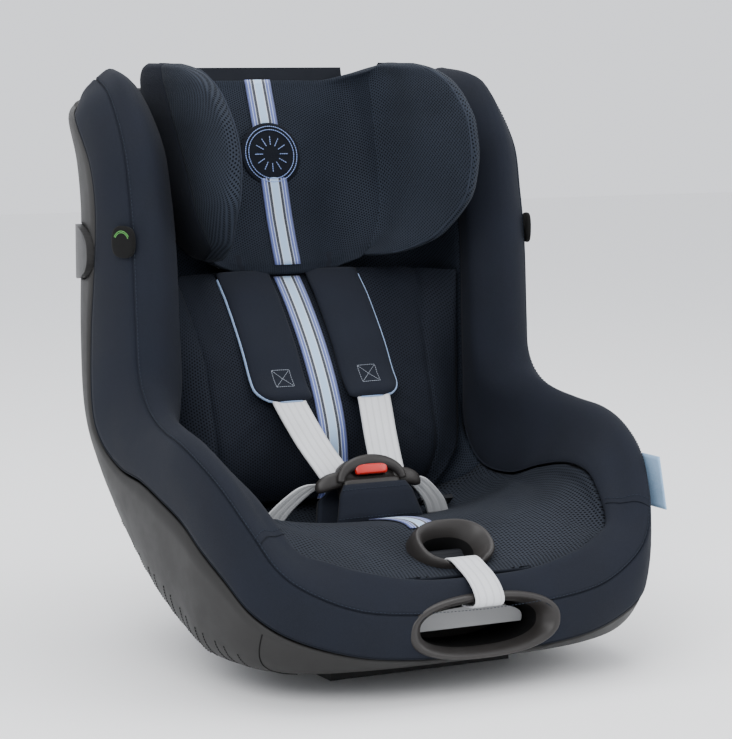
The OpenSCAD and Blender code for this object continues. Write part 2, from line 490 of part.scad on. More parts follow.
module sled_screws() color("silver") for (x = [-18, 18]) for (y = [-48, 40]) translate([x, y, 0.6]) difference() {
  union() { cylinder(r = 4.3, h = 3); cylinder(r = 2.4, h = 14); }
  translate([0, 0, -1]) cylinder(r = 2, h = 2.6, $fn = 6);
}

sled_frame();
sled_rollers();
dock_bars();
recline_rack();
sled_screws();
rubber_feet();
outer_shell();
belly_channel();
back_shell_rim();
cover_rim();
back_pad();
seat_pad();
inlay_back_pad();
front_bezel();
handle_pivots();
recline_handle();
recline_pawl();
adjuster_funnel();
adjuster_button();
adjuster_pin();
adjuster_strap();
buckle_housing();
buckle_button();
crotch_pad();
crotch_strap();
tongues();
shoulder_strap_left();
shoulder_strap_right();
lap_strap_left();
lap_strap_right();
shoulder_pad_left();
shoulder_pad_right();
harness_anchors();
pod_left();
pod_right();
pod_guides();
wing_badges();
fabric_tag();
guide_rods();
headrest_shell();
headrest_cushion();
headrest_wing_left();
headrest_wing_right();
headrest_emblem();
headrest_lever();
lever_pin();
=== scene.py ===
"""Looks for a convertible child car seat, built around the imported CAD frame."""
import math

import bmesh
import bpy
import numpy as np
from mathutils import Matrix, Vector
from mathutils.bvhtree import BVHTree


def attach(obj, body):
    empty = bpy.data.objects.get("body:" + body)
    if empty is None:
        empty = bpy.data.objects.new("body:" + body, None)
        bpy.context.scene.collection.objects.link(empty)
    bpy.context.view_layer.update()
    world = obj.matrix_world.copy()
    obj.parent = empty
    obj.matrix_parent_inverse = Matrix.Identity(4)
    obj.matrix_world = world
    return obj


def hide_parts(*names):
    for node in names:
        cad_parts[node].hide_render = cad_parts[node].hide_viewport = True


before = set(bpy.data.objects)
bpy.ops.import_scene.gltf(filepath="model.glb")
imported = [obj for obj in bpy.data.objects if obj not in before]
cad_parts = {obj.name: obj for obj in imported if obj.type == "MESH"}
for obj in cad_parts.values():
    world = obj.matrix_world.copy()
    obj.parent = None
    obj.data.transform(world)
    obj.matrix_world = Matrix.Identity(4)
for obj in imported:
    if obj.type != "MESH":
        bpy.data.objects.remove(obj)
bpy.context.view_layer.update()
MM = 0.001
PI = math.pi

# ------------------------------------------------------------------ curves (mm, as in the CAD)
# The right side's curves, from the top of the back, down and forward to the front of the seat.
hem = [[188, 206, 478], [207, 165, 469], [212, 120, 431], [212, 108, 388], [212, 113, 335],
       [212, 122, 280], [212, 122, 216], [212, 102, 187], [213, 56, 170], [213, 11, 165],
       [213, -31, 155], [211, -70, 142], [209, -103, 124], [203, -134, 105], [191, -164, 80],
       [165, -189, 61], [115, -205, 45], [59, -209, 38], [0, -210, 37]]
seam = [[184, 172, 505], [193, 120, 491], [197, 80, 449], [197, 66, 402], [198, 58, 351],
        [198, 53, 285], [198, 49, 252], [199, 33, 230], [202, 5, 217], [207, -30, 211],
        [211, -68, 207], [209, -103, 195], [203, -135, 176], [192, -163, 147], [177, -183, 117],
        [153, -196, 98], [113, -207, 82], [59, -211, 75], [0, -212, 73]]
crest = [[172, 168, 514], [180, 112, 503], [178, 70, 456], [176, 56, 405], [176, 48, 351],
         [176, 44, 286], [176, 41, 250], [180, 31, 235], [190, 4, 223], [196, -30, 217],
         [200, -68, 212], [199, -103, 201], [193, -134, 182], [183, -158, 152], [168, -177, 124],
         [146, -190, 108], [109, -201, 95], [57, -205, 88], [0, -205, 86]]
inner = [[156, 176, 507], [158, 130, 492], [155, 92, 450], [153, 78, 402], [152, 70, 351],
         [152, 65, 290], [152, 60, 248], [158, 50, 222], [174, 18, 210], [182, -25, 206],
         [187, -66, 204], [186, -102, 192], [180, -130, 173], [171, -152, 148], [158, -168, 127],
         [137, -181, 116], [104, -192, 108], [55, -197, 99], [0, -197, 97]]
meshline = [[150, 196, 488], [150, 160, 470], [151, 118, 432], [152, 104, 390], [152, 98, 340],
            [153, 98, 285], [155, 98, 225], [156, 96, 180], [158, 70, 147], [160, 20, 143],
            [161, -30, 157], [162, -75, 166], [161, -112, 163], [156, -140, 146],
            [148, -162, 126], [128, -177, 119], [99, -187, 109], [52, -189, 98], [0, -190, 96]]
# on the centre plane, as y and z: the front of the padding, and the back of the shell
padline = [[236, 494], [233, 480], [225, 440], [214, 395], [200, 345], [166, 292], [130, 238],
           [102, 178], [84, 118], [52, 98], [4, 108], [-42, 118], [-84, 123], [-122, 120], [-150, 112],
           [-172, 104], [-181, 100], [-186, 98], [-189, 96]]
spine = [[270, 494], [272, 470], [272, 430], [271, 385], [268, 335], [256, 270], [234, 205], [192, 137],
         [130, 76], [66, 37], [20, 21], [-22, 13], [-60, 11], [-96, 12], [-128, 15], [-158, 20],
         [-184, 26], [-204, 33], [-208, 35]]
FINE = 6                                         # steps between two of the points above


def cr(p, n):
    """Catmull-Rom curve through points, n steps to a span."""
    return crt(p, np.linspace(0, len(p) - 1, (len(p) - 1) * n + 1))


def mid(yz):
    """Points on the centre plane."""
    return [[0, y, z] for y, z in yz]


def crt(p, ts):
    """Catmull-Rom curve through points p (the first axis) at the parameters ts."""
    p = np.asarray(p, float)
    m = len(p)
    out = []
    for t in np.atleast_1d(ts):
        i = int(min(max(math.floor(t), 0), m - 2))
        f = t - i
        a, b, c, d = p[max(i - 1, 0)], p[i], p[i + 1], p[min(i + 2, m - 1)]
        out.append(0.5 * (2 * b + (c - a) * f + (2 * a - 5 * b + 4 * c - d) * f * f
                          + (3 * b - a - 3 * c + d) * f ** 3))
    return np.array(out)


def unit(v):
    v = np.asarray(v, float)
    return v / np.maximum(np.linalg.norm(v, axis=-1, keepdims=True), 1e-9)


def mix(a, b, t):
    return a + (b - a) * t


def bell(x, at, width, power=2):
    """1 at one place, falling to 0 over width."""
    return np.exp(-((x - at) / width) ** power)


def hump(x):
    """0 at 0 and at 1, and 1 between them."""
    return np.sin(np.clip(x, 0, 1) * PI)


def slide(x, rows):
    """Values at x between the rows [x, value]."""
    rows = np.array(rows, float)
    return np.interp(x, rows[:, 0], rows[:, 1])


def mirror(p):
    return np.asarray(p) * np.array([-1, 1, 1])


def normals(g):
    """Unit normals of a grid of points: row direction x column direction."""
    return unit(np.cross(np.gradient(g, axis=0), np.gradient(g, axis=1)))


def both(g):
    """Ribs from the right side to the centre, continued to the left side."""
    return np.concatenate([g, mirror(g)[:, -2::-1]], axis=1)


def around(g):
    """Rows down the right side, continued back up the left side."""
    return np.concatenate([g, mirror(g)[-2::-1]], axis=0)


def rib(p, q, k1, k2, ts):
    """Half ribs from side points p to centre points q, square-shouldered."""
    ts = np.asarray(ts)
    b = np.stack([p[:, 0], mix(p[:, 1], q[:, 1], k1), mix(p[:, 2], q[:, 2], k1)], -1)
    c = np.stack([p[:, 0] * k2, q[:, 1], q[:, 2]], -1)
    t = ts[None, :, None]
    s = 1 - t
    return (p[:, None] * s ** 3 + b[:, None] * 3 * s * s * t + c[:, None] * 3 * s * t * t
            + q[:, None] * t ** 3)


def oval(a, b, n=96, e=0.85):
    t = np.arange(n) * 2 * PI / n
    c, s = np.cos(t), np.sin(t)
    return np.stack([a * np.sign(c) * np.abs(c) ** e, b * np.sign(s) * np.abs(s) ** e], -1)


def rot_x(deg):
    a = math.radians(deg)
    return np.array([[1, 0, 0], [0, math.cos(a), -math.sin(a)], [0, math.sin(a), math.cos(a)]])


def place(pts, origin, deg):
    """Points turned about X, then moved: the local frames of the CAD."""
    return np.asarray(pts, float) @ rot_x(deg).T + np.array(origin, float)


def head(p):
    return place(p, [0, 226, 500], -14)


def bezel(p):
    return place(p, [0, -204, 60], 86)


def funnel(p):
    return place(p, [0, -152, 116], 34)


def buckle(p):
    return place(p, [0, -4, 147], -20)


# ------------------------------------------------------------------ meshes
def make(name, verts, faces, mats, uv=None, face_mat=None):
    """A mesh object from millimetre points. uv holds one (u, v) in metres for each vertex."""
    me = bpy.data.meshes.new(name)
    me.from_pydata((np.asarray(verts) * MM).tolist(), [], [list(map(int, f)) for f in faces])
    for m in (mats if isinstance(mats, (list, tuple)) else [mats]):
        me.materials.append(m)
    if uv is not None:
        layer = me.uv_layers.new(name="UVMap")
        idx = np.zeros(len(me.loops), int)
        me.loops.foreach_get("vertex_index", idx)
        layer.data.foreach_set("uv", np.asarray(uv, float)[idx].ravel())
    if face_mat is not None:
        me.polygons.foreach_set("material_index", np.asarray(face_mat, np.int32))
    bm = bmesh.new()
    bm.from_mesh(me)
    bmesh.ops.recalc_face_normals(bm, faces=bm.faces)
    bm.to_mesh(me)
    bm.free()
    me.polygons.foreach_set("use_smooth", [True] * len(me.polygons))
    me.update()
    ob = bpy.data.objects.new(name, me)
    bpy.context.scene.collection.objects.link(ob)
    return ob


def grid_uv(g):
    """Arc lengths across and along a grid, in metres."""
    du = np.linalg.norm(np.diff(g, axis=1), axis=2)
    dv = np.linalg.norm(np.diff(g, axis=0), axis=2).mean(axis=1)
    u = np.concatenate([np.zeros((len(g), 1)), np.cumsum(du, axis=1)], axis=1)
    u = u - u.mean(axis=1, keepdims=True)
    v = np.concatenate([[0], np.cumsum(dv)])
    return np.stack([u, np.repeat(v[:, None], g.shape[1], 1)], -1) * MM


def solid(name, a, b, mats, keep=None, cell_mat=None, back_mat=None, uv=None):
    """A closed solid between two grids of the same size; cells where keep is False are open."""
    r, c = a.shape[:2]
    n = r * c
    keep = np.ones((r - 1, c - 1), bool) if keep is None else keep
    faces, fm = [], []

    def idx(i, j, side):
        return side * n + i * c + j

    def ok(i, j):
        return 0 <= i < r - 1 and 0 <= j < c - 1 and keep[i, j]
    for i in range(r - 1):
        for j in range(c - 1):
            if not keep[i, j]:
                continue
            k = 0 if cell_mat is None else int(cell_mat[i, j])
            kb = k if back_mat is None else back_mat
            faces.append((idx(i, j, 0), idx(i, j + 1, 0), idx(i + 1, j + 1, 0), idx(i + 1, j, 0)))
            faces.append((idx(i, j, 1), idx(i + 1, j, 1), idx(i + 1, j + 1, 1), idx(i, j + 1, 1)))
            fm += [k, kb]
            for di, dj, e in ((-1, 0, ((i, j), (i, j + 1))), (1, 0, ((i + 1, j + 1), (i + 1, j))),
                              (0, -1, ((i + 1, j), (i, j))), (0, 1, ((i, j + 1), (i + 1, j + 1)))):
                if not ok(i + di, j + dj):
                    faces.append((idx(*e[0], 0), idx(*e[0], 1), idx(*e[1], 1), idx(*e[1], 0)))
                    fm.append(k)
    w = grid_uv(a) if uv is None else uv
    return make(name, np.concatenate([a.reshape(-1, 3), b.reshape(-1, 3)]), faces, mats,
                np.concatenate([w.reshape(-1, 2)] * 2), fm)


def loft(name, rings, mats, cap=(False, False), band_mat=None):
    """Closed rings of points joined one to the next; band_mat holds a material for each band."""
    rings = np.asarray(rings, float)
    m, n = rings.shape[:2]
    faces, fm = [], []
    for i in range(m - 1):
        for k in range(n):
            faces.append((i * n + k, i * n + (k + 1) % n, (i + 1) * n + (k + 1) % n, (i + 1) * n + k))
            fm.append(0 if band_mat is None else band_mat[i])
    if cap[0]:
        faces.append(tuple(range(n)))
        fm.append(0)
    if cap[1]:
        faces.append(tuple((m - 1) * n + k for k in range(n)))
        fm.append(0)
    closed = np.concatenate([rings, rings[:, :1]], axis=1)
    return make(name, rings.reshape(-1, 3), faces, mats, grid_uv(closed)[:, :-1].reshape(-1, 2), fm)


def sweep_frames(path):
    """Tangents along a path, and two directions across it that don't twist."""
    t = unit(np.gradient(path, axis=0))
    up = np.array([0, 0, 1.0])
    n0 = unit(np.cross(t[0], up) if abs(t[0][2]) < 0.95 else np.cross(t[0], [1, 0, 0]))
    out = [n0]
    for k in range(1, len(t)):
        out.append(unit(out[-1] - t[k] * np.dot(out[-1], t[k])))
    n = np.array(out)
    return t, n, np.cross(t, n)


def tube(name, path, r, mat, n=8):
    """A round cord along a path, with rounded ends."""
    path = np.asarray(path, float)
    t, a, b = sweep_frames(path)
    path = np.concatenate([[path[0] - t[0] * r * 0.7], path, [path[-1] + t[-1] * r * 0.7]])
    a = np.concatenate([[a[0]], a, [a[-1]]])
    b = np.concatenate([[b[0]], b, [b[-1]]])
    rad = np.concatenate([[r * 0.45], np.full(len(t), float(r)), [r * 0.45]])
    th = (np.arange(n) * 2 * PI / n)[None, :, None]
    rings = path[:, None] + rad[:, None, None] * (np.cos(th) * a[:, None] + np.sin(th) * b[:, None])
    return loft(name, rings, mat, (True, True))


def along(path, step):
    """Points at even steps along a polyline."""
    path = np.asarray(path, float)
    s = np.concatenate([[0], np.cumsum(np.linalg.norm(np.diff(path, axis=0), axis=1))])
    k = max(2, int(round(s[-1] / step)) + 1)
    q = np.linspace(0, s[-1], k)
    return np.stack([np.interp(q, s, path[:, i]) for i in range(3)], -1)


def stitches(name, paths, mat, pitch=3.4, length=2.3, r=0.34):
    """Rows of short raised threads along paths that lie on a surface."""
    verts, faces = [], []
    k = 8                                        # steps from one thread to the next
    used = max(2, int(round(k * length / pitch)))
    for path in paths:
        pts = along(path, pitch / k)
        for s in range(0, len(pts) - used, k):
            seg = pts[s:s + used + 1]
            middle = seg[len(seg) // 2]
            t = unit(seg[-1] - seg[0])
            a = unit(np.cross(t, [0.31, 0.52, 0.79]))       # any direction that no row runs along
            b = np.cross(t, a)
            base = len(verts)
            h = np.linalg.norm(seg[-1] - seg[0]) / 2
            for d, rr in ((-h, 0.25), (-h * 0.7, 0.9), (h * 0.7, 0.9), (h, 0.25)):
                for q in range(5):
                    th = q * 2 * PI / 5
                    verts.append(middle + t * d + r * rr * (math.cos(th) * a + math.sin(th) * b))
            for i in range(3):
                for q in range(5):
                    faces.append((base + i * 5 + q, base + i * 5 + (q + 1) % 5,
                                  base + (i + 1) * 5 + (q + 1) % 5, base + (i + 1) * 5 + q))
            faces.append(tuple(base + q for q in range(5)))
            faces.append(tuple(base + 15 + q for q in range(5)))
    return make(name, verts, faces, mat)


def coords(ob):
    """A piece's points in millimetres."""
    a = np.zeros(len(ob.data.vertices) * 3)
    ob.data.vertices.foreach_get("co", a)
    return a.reshape(-1, 3) / MM


def prism(outline, frame_fn, z0, z1):
    """A cutter: an outline in x and y of a local frame, from z0 to z1."""
    n = len(outline)
    pts = np.concatenate([np.column_stack([outline, np.full(n, z)]) for z in (z0, z1)])
    faces = [(k, (k + 1) % n, n + (k + 1) % n, n + k) for k in range(n)]
    faces += [tuple(range(n))[::-1], tuple(range(n, 2 * n))]
    return make("cutter", frame_fn(pts), faces, [])


def cut(ob, cutter):
    """Takes the cutter's space out of ob."""
    m = ob.modifiers.new("cut", "BOOLEAN")
    m.object = cutter
    m.operation = "DIFFERENCE"
    m.solver = "EXACT"
    me = bpy.data.meshes.new_from_object(ob.evaluated_get(bpy.context.evaluated_depsgraph_get()))
    ob.modifiers.remove(m)
    ob.data = me
    me.polygons.foreach_set("use_smooth", [True] * len(me.polygons))
    bpy.data.objects.remove(cutter)


def held(shape, rows=(1, 1), cols=(1, 1)):
    """A mask of a grid's points that is true along its edges."""
    mask = np.ones(shape, bool)
    mask[rows[0]:shape[0] - rows[1], cols[0]:shape[1] - cols[1]] = False
    return mask


def puff(ob, mask, pressure, cap):
    """Inflates the front of a solid with Blender's cloth. The front's points in mask and the
    whole back stay, and no point moves further than cap millimetres."""
    frames = 20
    rest = coords(ob)
    vg = ob.vertex_groups.new(name="pin")
    pinned = np.concatenate([mask.ravel(), np.ones(mask.size, bool)])
    vg.add([int(i) for i in np.nonzero(pinned)[0]], 1.0, "REPLACE")
    m = ob.modifiers.new("cloth", "CLOTH")
    s = m.settings
    s.quality = 6
    s.mass = 0.25
    s.tension_stiffness = s.compression_stiffness = 12
    s.shear_stiffness = 5
    s.bending_stiffness = 0.6
    s.use_pressure = True
    s.uniform_pressure_force = pressure
    s.effector_weights.gravity = 0
    s.vertex_group_mass = "pin"
    m.collision_settings.use_collision = False
    m.point_cache.frame_start = 1
    m.point_cache.frame_end = frames
    sc = bpy.context.scene
    for f in range(1, frames + 1):
        sc.frame_set(f)
    ev = ob.evaluated_get(bpy.context.evaluated_depsgraph_get())
    me = ev.to_mesh()
    a = np.zeros(len(me.vertices) * 3)
    me.vertices.foreach_get("co", a)
    ev.to_mesh_clear()
    d = a.reshape(-1, 3) / MM - rest
    size = np.linalg.norm(d, axis=1, keepdims=True)
    d = d * np.minimum(1, cap / np.maximum(size, 1e-6))
    ob.modifiers.remove(m)
    sc.frame_set(1)
    ob.data.vertices.foreach_set("co", ((rest + d) * MM).ravel())
    ob.data.update()


def drape(pts, direction, target, off):
    """Points moved along direction until they lie off millimetres above the target."""
    bm = bmesh.new()
    bm.from_mesh(target.data)
    tree = BVHTree.FromBMesh(bm)
    bm.free()
    d = Vector(unit(direction))
    out = []
    for p in np.reshape(pts, (-1, 3)):
        spot, nrm, _, _ = tree.ray_cast(Vector(p * MM) - d * 0.08, d, 0.4)
        if spot is None:
            out.append(p)
        else:
            nrm = nrm if nrm.dot(d) < 0 else -nrm
            out.append((np.array(spot) + np.array(nrm) * off * MM) / MM)
    return np.array(out).reshape(np.shape(pts))


# ------------------------------------------------------------------ materials
class Nodes:
    """A small helper that wires a procedural material."""

    def __init__(self, name, color=(0.5, 0.5, 0.5), rough=0.5):
        self.mat = bpy.data.materials.new(name)
        self.mat.use_nodes = True
        self.tree = self.mat.node_tree
        self.bsdf = self.tree.nodes["Principled BSDF"]
        self.bsdf.inputs["Base Color"].default_value = (*color, 1)
        self.bsdf.inputs["Roughness"].default_value = rough

    def put(self, socket, value):
        if isinstance(value, bpy.types.NodeSocket):
            self.tree.links.new(value, socket)
        else:
            socket.default_value = value

    def node(self, kind, ins=None, out=0, **props):
        n = self.tree.nodes.new(kind)
        for k, v in props.items():
            setattr(n, k, v)
        for k, v in (ins or {}).items():
            self.put(n.inputs[k], v)
        return n.outputs[out]

    def math(self, op, a, b=None):
        return self.node("ShaderNodeMath", {0: a} if b is None else {0: a, 1: b}, operation=op)

    def mul(self, a, b):
        return self.math("MULTIPLY", a, b)

    def add(self, a, b):
        return self.math("ADD", a, b)

    def ramp(self, value, lo, hi, to_lo=0.0, to_hi=1.0, smooth=True):
        return self.node("ShaderNodeMapRange", {"Value": value, "From Min": lo, "From Max": hi,
                                                "To Min": to_lo, "To Max": to_hi},
                         interpolation_type="SMOOTHSTEP" if smooth else "LINEAR")

    def blend(self, f, a, b):
        a = a if isinstance(a, bpy.types.NodeSocket) else (*a, 1)
        b = b if isinstance(b, bpy.types.NodeSocket) else (*b, 1)
        n = self.tree.nodes.new("ShaderNodeMix")
        n.data_type = "RGBA"
        self.put(n.inputs[0], f)
        self.put(n.inputs[6], a)
        self.put(n.inputs[7], b)
        return n.outputs[2]

    def noise(self, scale, detail=2.0, rough=0.5, vector=None):
        return self.node("ShaderNodeTexNoise", {"Vector": vector or self.obj(), "Scale": scale,
                                                "Detail": detail, "Roughness": rough})

    def cloud(self, scale, detail, rough=0.5, hi=0.7):
        """Soft patches from 0 to 1."""
        return self.ramp(self.noise(scale, detail, rough), 0.3, hi)

    def obj(self):
        if not hasattr(self, "_obj"):
            self._obj = self.node("ShaderNodeTexCoord", out=3)
        return self._obj

    def uv(self):
        if not hasattr(self, "_uv"):
            s = self.tree.nodes.new("ShaderNodeSeparateXYZ")
            self.tree.links.new(self.node("ShaderNodeUVMap"), s.inputs[0])
            self._uv = (s.outputs[0], s.outputs[1])
        return self._uv

    def bump(self, height, dist, strength=1.0, normal=None):
        ins = {"Height": height, "Distance": dist, "Strength": strength}
        if normal is not None:
            ins["Normal"] = normal
        return self.node("ShaderNodeBump", ins)

    def done(self, color=None, rough=None, normal=None, **consts):
        if color is not None:
            self.put(self.bsdf.inputs["Base Color"], color)
        if rough is not None:
            self.put(self.bsdf.inputs["Roughness"], rough)
        if normal is not None:
            self.put(self.bsdf.inputs["Normal"], normal)
        for k, v in consts.items():
            self.bsdf.inputs[k.replace("_", " ")].default_value = v
        return self.mat


def shade(c, k):
    return tuple(min(1, x * k) for x in c)


def plastic(name, color, rough=0.5, grain=0.00003, edge=0.5, spec=0.5, painted_shade_light_z=None):
    """Moulded plastic: fine grain, soft colour variation, paler rubbed edges, and optional painted shade low
    down with painted light high up.
    """
    m = Nodes(name, color, rough)
    round_n = m.node("ShaderNodeBevel", {"Radius": 0.0007}, samples=4)
    geo = m.tree.nodes.new("ShaderNodeNewGeometry")
    turn = m.node("ShaderNodeVectorMath", {0: round_n, 1: geo.outputs["Normal"]}, out=1,
                  operation="DOT_PRODUCT")
    worn = m.mul(m.ramp(turn, 0.985, 0.86), m.ramp(m.noise(180, 3), 0.3, 0.7, 0.25, 1.0))
    worn = m.mul(worn, edge)
    cloud = m.cloud(22, 3)
    base = m.blend(cloud, shade(color, 0.96), shade(color, 1.04))
    if painted_shade_light_z:                  # painted shade towards the underside and a painted highlight near the top, as in the photograph
        pos = m.tree.nodes.new("ShaderNodeSeparateXYZ")
        m.tree.links.new(m.obj(), pos.inputs[0])
        base = m.blend(m.ramp(pos.outputs[2], *painted_shade_light_z, 0.45, 0.0), base, shade(color, 0.45))
        base = m.blend(m.ramp(pos.outputs[2], painted_shade_light_z[1] - 0.15, painted_shade_light_z[1], 0.0, 0.45), base, shade(color, 2.2))
    base = m.blend(worn, base, tuple(min(1, c * 1.5 + 0.02) for c in color))
    r = m.add(m.ramp(m.noise(60, 4), 0.25, 0.75, rough - 0.03, rough + 0.04),
               m.mul(worn, -0.08))
    return m.done(base, r, m.bump(m.noise(1800, 1.0), grain, 0.6, round_n), Specular_IOR_Level=spec)


def woven(name, color, pitch=0.0011, depth=0.00012, sheen=0.02, tint=None):
    """Plain woven cloth with a visible over-and-under thread pattern and slight mottling."""
    m = Nodes(name, color, 0.85)
    u, v = m.uv()
    a = m.math("SINE", m.mul(u, 2 * PI / pitch))
    b = m.math("SINE", m.mul(v, 2 * PI / pitch))
    weave = m.mul(a, b)
    cloud = m.cloud(14, 4, 0.6)
    fleck = m.cloud(900, 2, hi=0.75)
    base = m.blend(cloud, shade(color, 0.84), shade(color, 1.16))
    base = m.blend(m.mul(fleck, 0.35), base, tint or shade(color, 1.7))
    base = m.blend(m.ramp(weave, -1, 1, 0.0, 0.3), base, shade(color, 0.7))
    h = m.add(m.mul(weave, 0.5), m.mul(m.noise(160, 3), 0.8))
    return m.done(base, m.ramp(cloud, 0, 1, 0.8, 0.92), m.bump(h, depth, 0.7),
                  Sheen_Weight=sheen, Sheen_Roughness=0.4, Specular_IOR_Level=0.12)


def holed(name, thread, hole, pitch, stretch, depth, edge=(0.2, 1.5)):
    """Spacer mesh: staggered holes between raised threads."""
    m = Nodes(name, thread, 0.8)
    u, v = m.uv()
    k = 4 * PI / (math.sqrt(3) * pitch)
    v = m.mul(v, 1 / stretch)
    ku = m.mul(u, k)
    half = m.mul(ku, 0.5)
    kv = m.mul(v, k * math.sqrt(3) / 2)
    f = m.add(m.math("COSINE", ku), m.add(m.math("COSINE", m.add(half, kv)),
                                          m.math("COSINE", m.math("SUBTRACT", half, kv))))
    open_ = m.ramp(f, *edge)
    cloud = m.cloud(16, 3)
    knit = m.cloud(1400, 2)
    base = m.blend(cloud, shade(thread, 0.85), shade(thread, 1.12))
    base = m.blend(m.mul(knit, 0.4), base, shade(thread, 1.6))
    # the holes' near-black colour is painted shade inside the sunken holes
    base = m.blend(open_, base, hole)
    h = m.add(m.mul(open_, -1.0), m.mul(knit, 0.12))
    return m.done(base, m.ramp(open_, 0, 1, 0.75, 0.95), m.bump(h, depth, 0.8),
                  Sheen_Weight=0.015, Sheen_Roughness=0.4, Specular_IOR_Level=0.12)


def webbing(name, color, width, ribs=5):
    """Seat-belt webbing: lengthwise ribs and fine cross threads."""
    m = Nodes(name, color, 0.6)
    u, v = m.uv()
    rib_h = m.math("COSINE", m.mul(u, 2 * PI * ribs / width))
    weft = m.math("SINE", m.add(m.mul(v, 2 * PI / 0.0012),
                                 m.mul(u, 2 * PI / 0.0022)))
    cloud = m.cloud(18, 3)
    base = m.blend(cloud, shade(color, 0.94), shade(color, 1.04))
    # painted shade in the grooves between the ribs
    base = m.blend(m.ramp(rib_h, -1, -0.55, 0.42, 0.0), base, shade(color, 0.62))
    base = m.blend(m.ramp(weft, -1, 1, 0.0, 0.12), base, shade(color, 0.6))
    h = m.add(m.ramp(rib_h, -1, 0.3), m.mul(weft, 0.16))
    return m.done(base, m.ramp(cloud, 0, 1, 0.55, 0.7), m.bump(h, 0.00035, 0.8),
                  Sheen_Weight=0.15, Specular_IOR_Level=0.3)


def ribbon_mat(name):
    """Striped ribbon: pale blue centre, dark bands, periwinkle edges, thin light lines."""
    m = Nodes(name, (0.3, 0.4, 0.6), 0.6)
    u, v = m.uv()
    a = m.mul(m.math("ABSOLUTE", u), 1 / 0.0135)      # 0 at the middle, 1 at the edges
    ramp = m.tree.nodes.new("ShaderNodeValToRGB")
    ramp.color_ramp.interpolation = "CONSTANT"
    stops = [(0.0, (0.40, 0.58, 0.82)), (0.27, (0.72, 0.79, 0.90)), (0.32, (0.022, 0.026, 0.038)),
             (0.53, (0.62, 0.70, 0.86)), (0.57, (0.090, 0.125, 0.36)), (0.74, (0.45, 0.53, 0.78)),
             (0.79, (0.085, 0.12, 0.34)), (0.955, (0.03, 0.04, 0.12))]
    el = ramp.color_ramp.elements
    el[0].position, el[0].color = stops[0][0], (*stops[0][1], 1)
    el[1].position, el[1].color = stops[1][0], (*stops[1][1], 1)
    for p, c in stops[2:]:
        e = el.new(p)
        e.color = (*c, 1)
    m.put(ramp.inputs[0], a)
    weft = m.math("SINE", m.mul(v, 2 * PI / 0.0009))
    warp = m.math("SINE", m.mul(u, 2 * PI / 0.0007))
    base = m.blend(m.ramp(m.mul(weft, warp), -1, 1, 0, 0.22), ramp.outputs[0],
                   (0.02, 0.02, 0.03))
    return m.done(base, m.ramp(m.noise(300, 2), 0.3, 0.7, 0.5, 0.68),
                  m.bump(m.add(weft, warp), 0.00006, 0.6), Sheen_Weight=0.2)


def steel(name):
    """Zinc-plated steel with drawn scratches and slight staining."""
    color, rough = (0.55, 0.56, 0.58), 0.35
    m = Nodes(name, color, rough)
    st = m.node("ShaderNodeMapping", {"Vector": m.obj(), "Scale": (6, 260, 260)})
    lines = m.noise(6, 4, 0.6, st)
    cloud = m.cloud(70, 4, hi=0.75)
    base = m.blend(cloud, shade(color, 0.72), shade(color, 1.05))
    return m.done(base, m.ramp(lines, 0.3, 0.7, rough - 0.1, rough + 0.15),
                  m.bump(lines, 0.00003, 0.5), Metallic=1.0)


